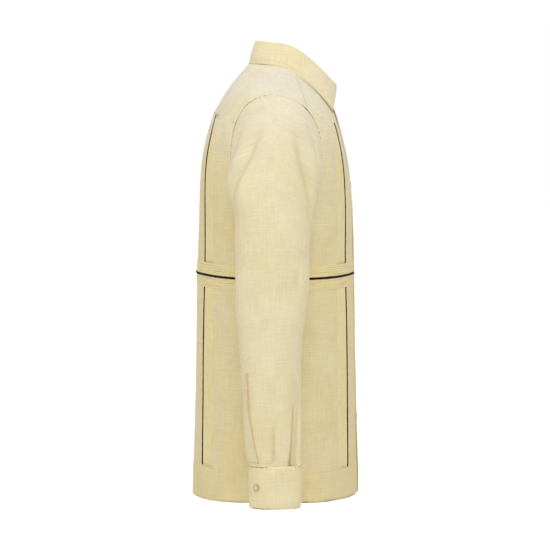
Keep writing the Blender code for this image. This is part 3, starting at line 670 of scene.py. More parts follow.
# Shade under the leaf at the front, and down from it in the neck opening: a share at each point.
def underLeaf(points):
    total = np.zeros(len(points))
    for side in (-1, 1):
        path = np.array(collarEdge[2:7])
        distance, share = alongPath(points * (0, 1, 1), path * (0, 1, 1) - (0, 0, 0.0006))
        near = np.exp(-(distance / (0.0046 - 0.0028 * share)) ** 4) * softSteps(1.0, 0.80, share)
        total += near * np.exp(-(alongPath(points, path * (-side, 1, 1))[0] / 0.011) ** 4)
    return np.clip(total, 0, 1)


# How far the cloth is pressed in where the front's buttons sit.
def buttonDimples(points):
    total = np.zeros(len(points))
    for number in range(1, 7):
        low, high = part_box(f"button_{number}")
        middle = (np.array(low) + np.array(high)) / 2
        total += button["pressed"] * hill(np.hypot(points[:, 0], points[:, 2] - middle[2]), 0.0105)
    return total


# Height of the hem's upper edge at a distance from the middle of the back or the front.
def hemLine(distance):
    return body["hemHeight"] + np.interp(np.abs(distance), *body["hemRaise"])


def makeBodyPanel(nodeName, name, seed):
    piece = cloth(nodeName, name, body["levels"])
    mesh = piece.data
    points = pointsOf(mesh)
    away = outward(mesh, awayFromBody(points))
    across, along = bodyUv(points)
    low = softSteps(-0.12, -0.30, points[:, 2])
    hang = np.sin(across * 52 + seed) * np.sin(points[:, 2] * 4 + seed) * body["hang"]
    lift = softWaves(points, seed, body["swellLength"]) * body["swell"] * low + hang * low
    fromMiddle = np.abs(across) if nodeName != "back" else math.pi * body["uvRadius"] - np.abs(across)
    toHem = np.abs(points[:, 2] - hemLine(fromMiddle))
    lift -= body["hemGroove"] * hill(toHem, 0.0022)
    rippleRise, ripplePitch = body["hemRipple"]
    ripple = np.sin(across * 2 * math.pi / ripplePitch + 1.3 * np.sin(across * 70)) * rippleRise
    lift += ripple * hill(toHem, 0.012)
    if nodeName != "back":
        lift -= buttonDimples(points)
    points = points + away * lift[:, None]
    shade, bright = gatherArmholes(points, away, body["gather"], seed)
    setPoints(mesh, points)
    # painted light: the single cloth paler high up and deeper lower down; the doubled hem deep
    layers = np.interp(points[:, 2], *body["backTints" if nodeName == "back" else "frontTints"])
    layers = np.where(points[:, 2] < hemLine(fromMiddle), body["hemTint"], layers)
    shade = np.maximum(shade, body["hemShade"] * hill(toHem, 0.0010))
    if nodeName != "back":
        under = underLeaf(points)
        shade = np.maximum(shade, body["underLeaf"][0] * under)
        bright -= body["underLeaf"][1] * under
    setUv(mesh, across, along)
    finishCloth(piece, nodeName, layers, shade, bright)
    return piece


backPiece = makeBodyPanel("back", "backPanel", 3)
frontRight = makeBodyPanel("front_right", "frontPanelRight", 5)
frontLeft = makeBodyPanel("front_left", "frontPanelLeft", 8)
fronts = {-1: frontRight, 1: frontLeft}
print("body panels done")


# Where values lie among even stops, counted in steps.
def among(stops, values, back=1.0):
    return np.clip((values - stops[0]) / (stops[1] - stops[0]), 0, len(stops) - back)


# Finds places on the outer face of the back or the fronts by distance from the middle and height.
class BodyMap:
    def __init__(self, trees, facing, low, high):
        self.facing = facing  # 1 for the back, -1 for the front
        self.heights = np.linspace(low, high, 150)
        self.turns = np.radians(np.linspace(-101, 101, 405))
        self.points = np.zeros((len(self.heights), len(self.turns), 3))
        for i, z in enumerate(self.heights):
            hits = np.full((len(self.turns), 3), np.nan)
            for k, turn in enumerate(self.turns):
                ray = Vector((math.sin(turn), facing * math.cos(turn), 0))
                for each in trees:
                    hit = each.ray_cast(Vector((0, 0, z)) + ray * 0.45, -ray)[0]
                    if hit is not None and (np.isnan(hits[k, 0]) or hit.xy.length > np.hypot(*hits[k, :2])):
                        hits[k] = hit
            good = ~np.isnan(hits[:, 0]) & (hits[:, 1] * facing > -0.012)
            for axis in range(3):
                hits[:, axis] = np.interp(self.turns, self.turns[good], hits[good, axis])
            self.points[i] = hits
        steps = np.linalg.norm(np.diff(self.points, axis=1), axis=2)
        run = np.concatenate([np.zeros((len(self.heights), 1)), np.cumsum(steps, axis=1)], axis=1)
        middle = len(self.turns) // 2
        self.run = run - run[:, middle:middle + 1]
        # a grid with even steps of distance, for quick reading
        self.across = np.linspace(-0.335, 0.335, 671)
        self.grid = np.zeros((len(self.heights), len(self.across), 3))
        for i in range(len(self.heights)):
            for axis in range(3):
                self.grid[i, :, axis] = np.interp(self.across, self.run[i], self.points[i, :, axis])
        alongX = np.gradient(self.grid, axis=1)
        alongZ = np.gradient(self.grid, axis=0)
        normals = np.cross(alongX, alongZ) * -facing
        for i in range(len(self.heights)):  # past the side seam the last good direction goes on
            length = np.linalg.norm(alongX[i], axis=1)
            good = length > 1e-5
            for axis in range(3):
                normals[i, :, axis] = np.interp(self.across, self.across[good], normals[i, good, axis])
        self.normals = unit(normals)

    def read(self, table, distance, height):
        u, v = among(self.across, distance, 1.001), among(self.heights, height, 1.001)
        i, k = v.astype(int), u.astype(int)
        a, b = (v - i)[..., None], (u - k)[..., None]
        top = table[i + 1, k] * (1 - b) + table[i + 1, k + 1] * b
        return (table[i, k] * (1 - b) + table[i, k + 1] * b) * (1 - a) + top * a

    def place(self, distance, height, lift=0.0):
        distance, height = np.broadcast_arrays(np.asarray(distance, float), np.asarray(height, float))
        points = self.read(self.grid, distance, height)
        normals = unit(self.read(self.normals, distance, height))
        return points + normals * np.asarray(lift, float)[..., None]

    # Distance from the middle and height of points near the surface.
    def find(self, points):
        turn = np.arctan2(points[:, 0], points[:, 1] * self.facing)
        level = among(self.heights, points[:, 2])
        made = np.array([np.interp(t, self.turns, self.run[int(round(v))]) for t, v in zip(turn, level)])
        return made, points[:, 2]


backMap = BodyMap([rayTree(backPiece)], 1, -0.7190, -0.0760)
frontMap = BodyMap([rayTree(frontRight), rayTree(frontLeft)], -1, -0.7175, -0.0560)
maps = {"back": backMap, "front": frontMap}
print("body maps done")


def nodeOnMap(nodeName, bodyMap):
    points = np.unique(pointsOf(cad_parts[nodeName].data).round(5), axis=0)
    return bodyMap.find(points)


# A closed skin through rings of points, each ring one row; the ends are capped.
def loft(name, rows, material, capEnds=True):
    rows = np.asarray(rows, float)
    count, around = rows.shape[:2]
    faces = []
    for r in range(count - 1):
        for c in range(around):
            d = (c + 1) % around
            faces.append((r * around + c, r * around + d, (r + 1) * around + d, (r + 1) * around + c))
    if capEnds:
        faces.append(tuple(range(around))[::-1])
        faces.append(tuple((count - 1) * around + c for c in range(around)))
    mesh = smoothMesh(name, rows.reshape(-1, 3), faces)
    made = linkMesh(name, mesh, material)
    shape = bmesh.new()
    shape.from_mesh(mesh)
    bmesh.ops.recalc_face_normals(shape, faces=shape.faces)
    shape.to_mesh(mesh)
    shape.free()
    steps = np.linalg.norm(np.diff(rows, axis=0), axis=2).mean(axis=1)
    along = np.repeat(np.concatenate([[0], np.cumsum(steps)]), around)
    ring = np.linalg.norm(np.diff(rows, axis=1), axis=2).mean(axis=0)
    across = np.tile(np.concatenate([[0], np.cumsum(ring)]), count)
    setUv(mesh, across, along)
    return made


underside = -0.0002  # how deep tucks and piping reach into the cloth

# Waist bands: tucks above and below a piping, curving up to the middles of the back and the front.
waist = {
    "tucksEachSide": 5,
    "columnStep": 0.006,
    "raiseAt": (0.0, 0.105, 0.190, 0.260),  # distance from the middle
    "backRaise": (0.0055, 0.0045, 0.0018, 0.0),
    "frontRaise": (0.0042, 0.0034, 0.0014, 0.0),
    "backHemEnd": 0.0060,  # raise of the lower ends of the strips
    "frontHemEnd": 0.0022,
}


def waistRaise(bodyMap, distance):
    raised = waist["backRaise" if bodyMap is backMap else "frontRaise"]
    return np.interp(np.abs(distance), waist["raiseAt"], raised)


# How far a strip above or below the band is raised at its heights, at a distance from the middle.
def stripRaise(bodyMap, level, distance, heights, low, high):
    share = (heights - low) / (high - low)
    atBand = waistRaise(bodyMap, distance)
    if level == "upper":
        return atBand * (1 - share)
    return atBand * share + waist["backHemEnd" if bodyMap is backMap else "frontHemEnd"] * (1 - share)


# Pin tucks in strips, with piping beside them.
tucks = {
    "count": 10,
    "bright": 0.07,
    "upperTint": {"back": 0.45, "front": 0.42},  # at the yoke, paler as painted light from above
    "rise": 0.00075,
    "base": 0.00025,
    "profile": ((0.00, 0.05), (0.05, 0.85), (0.16, 1.00), (0.45, 0.62), (0.80, 0.22), (0.98, 0.05)),
    "wander": 0.00025,
    "rowStep": 0.006,
}


# Across a strip: places from 0 to width and their rise, a little uneven at this place along it.
def tuckProfile(width, count, seed, at, flip=False):
    places, rises = [0.0, 0.00005], [0.0, tucks["base"] + 0.00035]
    pitch = width / count
    for k in range(count):
        shift = tucks["wander"] * math.sin(at * 37 + k * 2.1 + seed) * (0.6 + 0.4 * math.sin(at * 90 + k))
        for share, rise in tucks["profile"]:
            places.append((k + share) * pitch + 0.0002 + (shift if 0 < k else 0))
            uneven = 0.9 + 0.1 * math.sin(at * 60 + 3 * k + seed)
            rises.append(tucks["base"] + rise * tucks["rise"] * uneven)
    places, rises = np.clip(np.array(places + [width]), 0, width), np.array(rises + [0.0])
    if flip:
        places, rises = (width - places)[::-1], rises[::-1]
    return places, rises


# The rim of a band of points: those that lie furthest to one side among their neighbours along it.
def rimOf(along, across, sign):
    keep = [i for i in range(len(along))
            if across[i] * sign > (across[np.abs(along - along[i]) < 0.008] * sign).max() - 0.0007]
    groups = {}
    for i in keep:
        groups.setdefault(round(along[i] / 0.004), []).append(i)
    made = sorted((along[group].mean(), across[group].mean()) for group in groups.values())
    return np.array(made).T


# Height of rows of a strip, and its distances from the middle at the piping side and the other.
def stripEdges(nodeName, bodyMap):
    d, z = nodeOnMap(nodeName, bodyMap)
    d = np.abs(d)
    heights = np.linspace(z.min(), z.max(), max(int((z.max() - z.min()) / 0.035), 2) + 1)
    return heights, np.interp(heights, *rimOf(z, d, -1)), np.interp(heights, *rimOf(z, d, 1))


def makeTuckStrip(hand, face, level, seed):
    bodyMap = maps[face]
    side = 1 if hand == "left" else -1
    nodeName = f"tucks_{face}_{hand}_{level}"
    heights, inner, outer = stripEdges(nodeName, bodyMap)
    rows = []
    count = max(int((heights[-1] - heights[0]) / tucks["rowStep"]), 4)
    for z in np.linspace(heights[0], heights[-1], count + 1):
        start = np.interp(z, heights, inner)
        width = np.interp(z, heights, outer) - start
        places, rises = tuckProfile(width, tucks["count"], seed, z)
        under = np.linspace(width - 0.0002, 0.0002, 8)
        distance = (np.concatenate([places, under]) + start) * side
        lift = np.concatenate([rises, np.full(len(under), underside)])
        up = stripRaise(bodyMap, level, start, z, heights[0], heights[-1])
        rows.append(bodyMap.place(distance, np.full(len(distance), z + up), lift))
    piece = loft(f"tucks{face.title()}{hand.title()}{level.title()}", rows, linenCloth)
    strong = 1.0
    if level == "upper":  # painted light from above: the cloth is paler towards the yoke, in the tucks too
        strong = softSteps(heights[-1], heights[-1] - 0.075, pointsOf(piece.data)[:, 2])
    start = tucks["upperTint"][face]
    finishCloth(piece, nodeName, start + (1 - start) * strong, bright=strong * tucks["bright"])
    return piece


# Half round on top, flat underneath.
def cordSection(width, rise, count=9):
    turn = np.linspace(0, math.pi, count)
    top = np.stack([-np.cos(turn) * width / 2, np.sin(turn) ** 0.8 * rise], axis=1)
    under = np.stack([np.linspace(width / 2, -width / 2, 4)[1:-1], np.full(2, underside)], axis=1)
    return np.concatenate([top, under])


# Piping laid on the body along given distances and heights.
def makePipe(name, bodyMap, distances, heights, width, rise, lift, nodeName):
    section = cordSection(width, rise)
    rows = []
    for i, (d, z) in enumerate(zip(distances, heights)):
        a, b = max(i - 1, 0), min(i + 1, len(distances) - 1)
        step = np.array([distances[b] - distances[a], heights[b] - heights[a]])
        step /= np.linalg.norm(step)
        squeeze = 1 + 0.05 * math.sin(i * 1.7) + 0.03 * math.sin(i * 0.61)
        place = section[:, 0] * squeeze
        rows.append(bodyMap.place(d + place * step[1], z - place * step[0], section[:, 1] * squeeze + lift))
    piece = loft(name, rows, navyPiping)
    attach(piece, "root")
    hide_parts(nodeName)


def makeStripPiping(hand, face, level):
    bodyMap = maps[face]
    side = 1 if hand == "left" else -1
    nodeName = f"piping_{face}_{hand}_{level}"
    d, z = nodeOnMap(nodeName, bodyMap)
    levels = np.linspace(z.min(), z.max(), max(int((z.max() - z.min()) / 0.030), 3))
    middle = [np.average(np.abs(d), weights=hill(z - level, 0.012) + 1e-9) for level in levels]
    count = int((z.max() - z.min()) / 0.004)
    heights = np.linspace(z.min(), z.max(), count)
    distances = np.interp(heights, levels, middle) * side
    heights = heights + stripRaise(bodyMap, level, distances, heights, heights[0], heights[-1])
    makePipe(f"piping{face.title()}{hand.title()}{level.title()}", bodyMap, distances, heights,
             piping["width" if level == "lower" else "upperWidth"], piping["rise"], 0.0002, nodeName)


for number, (hand, face, level) in enumerate(
    (h, f, v) for h in ("right", "left") for f in ("back", "front") for v in ("lower", "upper")
):
    makeTuckStrip(hand, face, level, number)
    makeStripPiping(hand, face, level)
print("tuck strips and piping done")


# Distances, and the heights of the band's lower edge, piping and upper edge there.
def bandEdges(nodeName, pipeName, bodyMap):
    d, z = nodeOnMap(nodeName, bodyMap)
    pd, pz = nodeOnMap(pipeName, bodyMap)
    stops = np.linspace(d.min(), d.max(), max(int((d.max() - d.min()) / 0.02), 3))
    mid = [np.average(pz, weights=hill(pd - stop, 0.012) + 1e-9) for stop in stops]
    return stops, np.interp(stops, *rimOf(d, z, -1)), np.array(mid), np.interp(stops, *rimOf(d, z, 1))


def makeWaistBand(place, bodyMap, seed):
    nodeName, pipeName = f"waist_tucks_{place}", f"waist_piping_{place}"
    stops, low, mid, high = bandEdges(nodeName, pipeName, bodyMap)
    count = int((stops[-1] - stops[0]) / waist["columnStep"])
    rows = []
    for d in np.linspace(stops[0], stops[-1], count + 1):
        bottom, middle, top = (np.interp(d, stops, each) for each in (low, mid, high))
        half = piping["waistWidth"] / 2
        lowPlaces, lowRises = tuckProfile(middle - half - bottom, waist["tucksEachSide"], seed, d, True)
        highPlaces, highRises = tuckProfile(top - middle - half, waist["tucksEachSide"], seed + 5, d)
        heights = np.concatenate([bottom + lowPlaces, middle + half + highPlaces])
        rises = np.concatenate([lowRises, highRises]) + tucks["base"]
        rises[len(lowPlaces) - 1:len(lowPlaces) + 1] = tucks["base"] * 2
        rises[[0, -1]] = 0.0
        under = np.linspace(top - 0.0002, bottom + 0.0002, 9)
        heights = np.concatenate([heights, under]) + waistRaise(bodyMap, d)
        lift = np.concatenate([rises, np.full(9, underside)])
        rows.append(bodyMap.place(np.full(len(heights), d), heights, lift))
    ending = place.title().replace("_", "")
    piece = loft("waistTucks" + ending, rows, linenCloth)
    finishCloth(piece, nodeName, 1.0, bright=tucks["bright"])
    distances = np.linspace(stops[0], stops[-1], int((stops[-1] - stops[0]) / 0.004))
    heights = np.interp(distances, stops, mid) + waistRaise(bodyMap, distances)
    makePipe("waistPiping" + ending, bodyMap, distances, heights, piping["waistWidth"],
             piping["waistRise"], 0.0006, pipeName)
    return piece


waistBands = [
    makeWaistBand("back", backMap, 1),
    makeWaistBand("front_right", frontMap, 2),
    makeWaistBand("front_left", frontMap, 3),
]
print("waist bands done")


# The nearest place on any of some pieces, and the way the piece faces there.
def nearestOn(trees, point):
    hits = [each.find_nearest(Vector(point)) for each in trees]
    best = min((h for h in hits if h[0] is not None), key=lambda h: h[3])
    return np.array(best[0]), np.array(best[1])


# Edges that lie close beside another piece are brought up to it.
def closeSeam(points, trees, reach=0.0013):
    for k in range(len(points)):
        place = nearestOn(trees, points[k])[0]
        if np.linalg.norm(place - points[k]) < reach:
            points[k] += (place - points[k]) * 0.9
    return points


# Yoke.
yoke = {
    "gather": {"reach": 0.009, "deep": 0.0004, "pitch": 0.009, "shade": 0.04, "shadeWide": 0.003},
    # a pale tint, painted light from above on the shoulders; more tint towards the back's lower edge
    "tint": 0.04,
    "backTint": 0.45,  # more, at the lower edge
}


def makeYoke():
    piece = cloth("yoke", "yokePanel", 3)
    mesh = piece.data
    points = pointsOf(mesh)
    away = outward(mesh, awayFromBody(points))
    points = points + away * (softWaves(points, 12, 0.09) * 0.0005)[:, None]
    shade, bright = gatherArmholes(points, away, yoke["gather"], 21)
    points = closeSeam(points, [rayTree(frontRight), rayTree(frontLeft), rayTree(backPiece)])
    setPoints(mesh, points)
    bend = np.tanh(points[:, 1] / 0.05)
    # pale as painted light from above, deeper towards the back's lower edge
    layers = yoke["tint"] + yoke["backTint"] * softSteps(-0.030, -0.075, points[:, 2]) * (points[:, 1] > 0)
    setUv(mesh, points[:, 0], points[:, 1] - points[:, 2] * bend)
    finishCloth(piece, "yoke", layers, shade, bright)
    return piece


yokePiece = makeYoke()


# Sleeves.
sleeve = {
    "levels": 3,
    "swell": 0.0010,
    "swellLength": 0.13,
    "seamShade": 0.06,
    "cuffSeam": -0.640,  # height
    "cuffLight": 0.12,
    "toBody": 0.0011,  # sewn up to the body
    "intoCuff": 0.0009,
    "shadedPleats": (  # from, to, width, strength
        ((120, -0.520), (137, -0.6395), 0.0042, 0.95),
        ((108, -0.500), (120, -0.6395), 0.0024, 0.35),
        ((176, -0.550), (181, -0.6395), 0.0022, 0.35),
    ),
    # Tints by height, pale to deep, are painted light on the single cloth: paler high up under the light from
    # above, deeper towards the cuff.
    "tints": ((-0.640, -0.560, -0.400, -0.200, -0.110, -0.050), (0.72, 0.70, 0.58, 0.62, 0.45, 0.18)),
    "foreBy": 0.0036,  # the lower arm and cuff are a little fuller to the front
    "foreHeights": (-0.46, -0.62),
    "rearBy": 0.0095,  # above the elbow the sleeve hangs out over its seam at the back
    "rearHeight": -0.196,
    "rearReach": 0.035,
    "uvRadius": 0.052,
}
# Soft creases of the sleeve: path, width, depth, shade. A path by spots lies on the outer face: how far back,
# height. One by turns: 0 faces the body, 90 the front, 180 away from it, 270 the back; height.
sleeveCreases = (
    ("spots", ((0.027, -0.105), (0.040, -0.140), (0.046, -0.161), (0.054, -0.196), (0.062, -0.231)),
     0.0085, -0.0056, 0.16),
    ("spots", ((0.046, -0.116), (0.0600, -0.148), (0.0670, -0.180), (0.0690, -0.206)), 0.0100, 0.0030, 0),
    ("spots", ((0.055, -0.100), (0.064, -0.121), (0.069, -0.146)), 0.0060, -0.0040, 0.10),
    ("spots", ((-0.033, -0.104), (-0.0428, -0.148), (-0.0507, -0.180), (-0.0571, -0.212), (-0.0590, -0.240)),
     0.0085, -0.0056, 0.16),
    ("spots", ((-0.0523, -0.1085), (-0.0602, -0.1354), (-0.0640, -0.1671), (-0.0655, -0.1980)),
     0.0100, 0.0030, 0),
    ("spots", ((-0.054, -0.092), (-0.063, -0.114), (-0.068, -0.142)), 0.0060, -0.0036, 0.08),
    ("swell", ((252, -0.140), (252, -0.232)), 0.0270, 0.0060, 0),
    ("spots", ((-0.0365, -0.322), (-0.0375, -0.340), (-0.0385, -0.360)), 0.0050, -0.0026, 0.07),
    ("turns", ((95, -0.300), (150, -0.318)), 0.0120, -0.0013, 0),
    ("turns", ((255, -0.300), (205, -0.345)), 0.0140, -0.0014, 0),
    ("turns", ((250, -0.430), (198, -0.470)), 0.0160, -0.0014, 0),
    ("turns", ((110, -0.450), (160, -0.490)), 0.0160, -0.0012, 0),
    ("turns", ((120, -0.520), (137, -0.642)), 0.0034, -0.0052, 0),
    ("turns", ((131, -0.525), (149, -0.642)), 0.0055, 0.0030, 0),
    ("turns", ((108, -0.500), (120, -0.642)), 0.0042, -0.0022, 0),
    ("turns", ((176, -0.545), (181, -0.642)), 0.0038, -0.0030, 0),
    ("turns", ((190, -0.560), (194, -0.642)), 0.0060, 0.0016, 0),
    ("turns", ((30, -0.250), (70, -0.330)), 0.0120, -0.0020, 0),
    ("turns", ((330, -0.280), (290, -0.370)), 0.0130, -0.0020, 0),
    ("turns", ((20, -0.420), (60, -0.470)), 0.0150, -0.0014, 0),
    ("turns", ((40, -0.560), (48, -0.642)), 0.0060, -0.0028, 0),
    ("turns", ((330, -0.560), (322, -0.642)), 0.0060, -0.0024, 0),
)


# The way out from the arm's middle at a turn in degrees.
def armRay(turn, side):
    return Vector((-side * math.cos(math.radians(turn)), -math.sin(math.radians(turn)), 0))


# The turn of points round the arm, in radians.
def armTurn(points, side, middle):
    return np.arctan2(points[:, 1], (points[:, 0] - middle * side) * -side)


# Points on the sleeve's outer face at given places back and up.
def outerSpots(spots, side):
    made = []
    for y, z in resample(spots, 0.006):
        hit = sleeveTrees[side].ray_cast(Vector((0.45 * side, y, z)), Vector((-side, 0, 0)))[0]
        if hit is not None:
            made.append(hit)
    return np.array(made)


# Points on the sleeve from one turn and height to another.
def armSpots(ends, side, count=14):
    made = []
    for share in np.linspace(0, 1, count):
        turn, z = (ends[0][k] * (1 - share) + ends[1][k] * share for k in (0, 1))
        hit = sleeveTrees[side].ray_cast(Vector(armPoint(z, side)), armRay(turn, side))[0]
        if hit is not None:
            made.append(hit)
    return np.array(made)


def foreShift(points):
    low = softSteps(*sleeve["foreHeights"], points[:, 2])
    return sleeve["foreBy"] * low * softSteps(-0.010, 0.040, -points[:, 1])


def rearShift(points):
    near = hill(points[:, 2] - sleeve["rearHeight"], sleeve["rearReach"])
    near *= softSteps(0.205, 0.235, np.abs(points[:, 0]))
    return sleeve["rearBy"] * near * softSteps(0.010, 0.055, points[:, 1])


def makeSleeve(side):
    hand = hands[side]
    piece = cloth(f"sleeve_{hand}", f"sleeve{hand.title()}", sleeve["levels"])
    mesh = piece.data
    points = pointsOf(mesh)
    away = outward(mesh, awayFromArm(points, side))
    sleeveTrees[side] = rayTree(piece)
    seed = 30 if side < 0 else 44
    lift = softWaves(points, seed, sleeve["swellLength"]) * sleeve["swell"]
    lift += softWaves(points * (1, 1, 0.35), seed + 1, 0.045) * 0.0003
    creased, swell = np.zeros(len(points)), np.zeros(len(points))
    for kind, places, wide, deep, strong in sleeveCreases:
        path = outerSpots(places, side) if kind == "spots" else armSpots(places, side)
        distance, share = alongPath(points, path)
        taper = np.clip(np.sin(math.pi * np.clip(share * 0.96 + 0.02, 0, 1)), 0, 1) ** 0.6
        if path[-1][2] < -0.63:
            taper = softSteps(0, 0.55, share)
        near = taper * hill(distance, wide)
        if kind == "swell":  # keeps its fullness close to the seam
            swell += deep * near
        else:
            lift += deep * near
        creased += strong * near
    toSeam = alongPath(points, armholes[side])[0]
    lift *= softSteps(0.0, 0.012, np.minimum(toSeam, points[:, 2] + 0.6405))
    lift += swell * softSteps(0.0005, 0.0060, toSeam)
    points = points + away * lift[:, None]
    points, distance = pucker(points, away, armholes[side], 0.012, 0.0008, 0.0085, seed)
    points[:, 0] -= side * sleeve["toBody"] * hill(distance, 0.006)
    points[:, 2] -= sleeve["intoCuff"] * hill(points[:, 2] + 0.6397, 0.0020)
    toCuff = points[:, 2] - sleeve["cuffSeam"]
    shade = sleeve["seamShade"] * hill(distance, 0.0022) + creased + 0.04 * hill(toCuff, 0.003)
    bright = body["seamLight"] * 1.4 * hill(distance, 0.0030) + sleeve["cuffLight"] * hill(toCuff, 0.0025)
    for start, end, wide, strong in sleeve["shadedPleats"]:
        near, share = alongPath(points, armSpots((start, end), side))
        shade += strong * softSteps(0.0, 0.6, share) * hill(near, wide * (0.4 + 0.6 * share))
    points[:, 1] += rearShift(points) - foreShift(points)
    setPoints(mesh, points)
    out = np.clip(np.abs(points[:, 0]), 0, 0.3)
    setUv(mesh, armTurn(points, side, 0.267) * sleeve["uvRadius"], points[:, 2] - 0.8 * out)
    # the tint by height is painted light: paler high up, deeper lower down
    finishCloth(piece, f"sleeve_{hand}", np.interp(points[:, 2], *sleeve["tints"]), shade, bright)
    return piece


sleeveTrees = {}
sleevePieces = {side: makeSleeve(side) for side in (-1, 1)}
print("sleeves done")


# The armhole seam: a narrow ridge over the turned edges, gathered like beads by its stitches.
seamRidge = {
    "width": 0.0050,
    "rise": 0.0007,
    "inset": 0.0003,
    "bead": 0.0050,  # length of one
    "step": 0.0011,
    "tint": 0.40,
    "shade": 0.03,
    "beadShade": 0.22,
}


def makeArmholeSeam(side):
    trees = [rayTree(piece) for piece in (sleevePieces[side], backPiece, fronts[side], yokePiece)]
    line = resample(armholes[side], seamRidge["step"])[:-1]
    arm = unit(np.roll(line, -1, axis=0) - np.roll(line, 1, axis=0))
    away = line - line.mean(axis=0)
    away[:, 0] = 0
    away = unit(unit(away) + np.array([0.35 * side, 0, 0]))
    toBody = np.cross(arm, away)
    toBody *= -np.sign(toBody[:, :1] * side)
    random = np.random.default_rng(90 + side)
    phase = random.uniform(0, 6.283, 3)
    run = np.arange(len(line)) * seamRidge["step"]
    beads = np.sin(2 * math.pi * run / seamRidge["bead"] + phase[0] + 1.1 * np.sin(run / 0.011 + phase[1]))
    section = cordSection(1.0, 1.0, 7)
    rows, shades = [], []
    for p, n, b, bead, at in zip(line, away, toBody, beads, run):
        top = p + n * 0.004 + b * seamRidge["inset"]
        place, facing = nearestOn(trees, top)
        if facing @ n < 0:
            facing = -facing
        facing = unit(facing + n * 0.5)
        wide = seamRidge["width"] * (1 + 0.10 * bead)
        rise = seamRidge["rise"] * (0.75 + 0.35 * bead + 0.1 * math.sin(at * 210))
        rows.append([place + b * u * wide + facing * (v * rise if v > 0 else -0.0004) for u, v in section])
        shades.append([seamRidge["shade"] + seamRidge["beadShade"] * max(-bead, 0)] * len(section))
    rows = smoothRows(np.array(rows))
    rows = np.concatenate([rows, rows[:1]])
    shades = np.concatenate([shades, shades[:1]])
    piece = loft(f"armholeSeam{hands[side].title()}", rows, linenCloth, capEnds=False)
    finishCloth(piece, None, seamRidge["tint"], shades.ravel(), body["seamLight"])
    return piece


# Rings of points evened out a little along their run, ends joined.
def smoothRows(rows, times=2):
    for _ in range(times):
        rows = (np.roll(rows, 1, axis=0) + rows * 2 + np.roll(rows, -1, axis=0)) / 4
    return rows


armholeSeams = {side: makeArmholeSeam(side) for side in (-1, 1)}
print("armhole seams done")


# Cuffs and sleeve plackets.
cuff = {
    "top": -0.6399,
    "bottom": -0.7090,
    "swell": 0.0007,
    "pucker": 0.0004,
    "stitchedIn": 0.0050,  # how far from the edges
    "groove": 0.0005,
    "rolledIn": 0.0010,
    "tint": 0.70,
    "bright": 0.03,
    "seamLight": 0.12,
    "uvRadius": 0.042,
}


def makeCuff(side):
    hand = hands[side]
    piece = cloth(f"cuff_{hand}", f"cuff{hand.title()}", 3, 52, 0.55)
    mesh = piece.data
    points = pointsOf(mesh)
    away = outward(mesh, awayFromArm(points, side))
    turn = armTurn(points, side, 0.268)
    edge = np.minimum(np.abs(points[:, 2] - cuff["top"]), np.abs(points[:, 2] - cuff["bottom"]))
    lift = softWaves(points, 60 + side, 0.05) * cuff["swell"]
    lift -= cuff["groove"] * hill(edge - cuff["stitchedIn"], 0.0012)
    ripple = np.sin(turn * 34 + 1.3 * np.sin(turn * 9 + side)) * (0.6 + 0.4 * np.sin(turn * 5))
    lift += ripple * cuff["pucker"] * hill(edge, 0.0075)
    lift -= cuff["rolledIn"] * hill(edge, 0.0014)
    points = points + away * lift[:, None]
    points[:, 1] -= foreShift(points)
    setPoints(mesh, points)
    fromTop = points[:, 2] - cuff["top"]
    shade = 0.03 * hill(fromTop, 0.0013) + 0.10 * np.maximum(-ripple, 0) * hill(fromTop, 0.006)
    setUv(mesh, turn * cuff["uvRadius"], points[:, 2])
    bright = cuff["bright"] + cuff["seamLight"] * hill(fromTop, 0.0025)
    finishCloth(piece, f"cuff_{hand}", cuff["tint"], shade, bright)
    return piece


sleevePlacket = {
    "tint": 0.70,
    "sunk": 0.0011,
    "edgeShade": 0.45,
    "frontEdge": ((-0.635, -0.565, -0.530, -0.495), (0.0256, 0.0405, 0.0430, 0.0450)),  # height, how far back
    "stitchedTurns": (233, 248),
    "stitchedHeights": (-0.634, -0.500),
    "boxTurns": (234, 262),  # two rows across its upper end
    "boxHeights": (-0.5005, -0.5120),
}


def makeSleevePlacket(side):
    name = f"sleeve_placket_{hands[side]}"
    piece = cloth(name, f"sleevePlacket{hands[side].title()}", 3, 50, 1.0)
    mesh = piece.data
    points = pointsOf(mesh)
    rough = awayFromArm(points, side)
    # laid back on the sleeve as it now is
    surface = rayTree(sleevePieces[side])
    made = points.copy()
    base = sleeveTrees[side]
    for i, (p, n) in enumerate(zip(points, rough)):
        before = base.ray_cast(Vector(p + n * 0.03), Vector(-n))[0]
        now = surface.ray_cast(Vector(p + n * 0.03), Vector(-n))[0]
        if before is not None and now is not None:
            made[i] = p + (np.array(now) - np.array(before)) - n * sleevePlacket["sunk"]
    setPoints(mesh, made)
    setUv(mesh, armTurn(made, side, 0.267) * sleeve["uvRadius"], made[:, 2])
    frontEdge = made[:, 1] - np.interp(made[:, 2], *sleevePlacket["frontEdge"])
    shade = sleevePlacket["edgeShade"] * hill(frontEdge, 0.0022)
    finishCloth(piece, name, sleevePlacket["tint"], shade)
    return piece


cuffPieces = {side: makeCuff(side) for side in (-1, 1)}
sleevePlackets = {side: makeSleevePlacket(side) for side in (-1, 1)}
print("cuffs and plackets done")


# Collar.
collar = {
    "pressFrom": 20,  # degrees from the front middle where the leaf begins to lie on the shoulder
    "pressFull": 52,
    "pressBy": 0.0024,
    "pressReach": 0.0075,  # from this gap on, and all of it at pressNear
    "pressNear": 0.0036,
    "dentAt": (-0.064, -0.050, 0.008),  # a soft dent in the leaf on the wearer's right
    "dentDeep": 0.0016,
    "dentWide": 0.012,
    "swell": 0.0006,
    "tint": 0.58,
    "bright": 0.05,
    "stitchedIn": 0.0055,  # how far from the leaf's edge
    "stitchShade": 0.16,
    "groove": 0.0003,
    "uvRadius": 0.075,
}


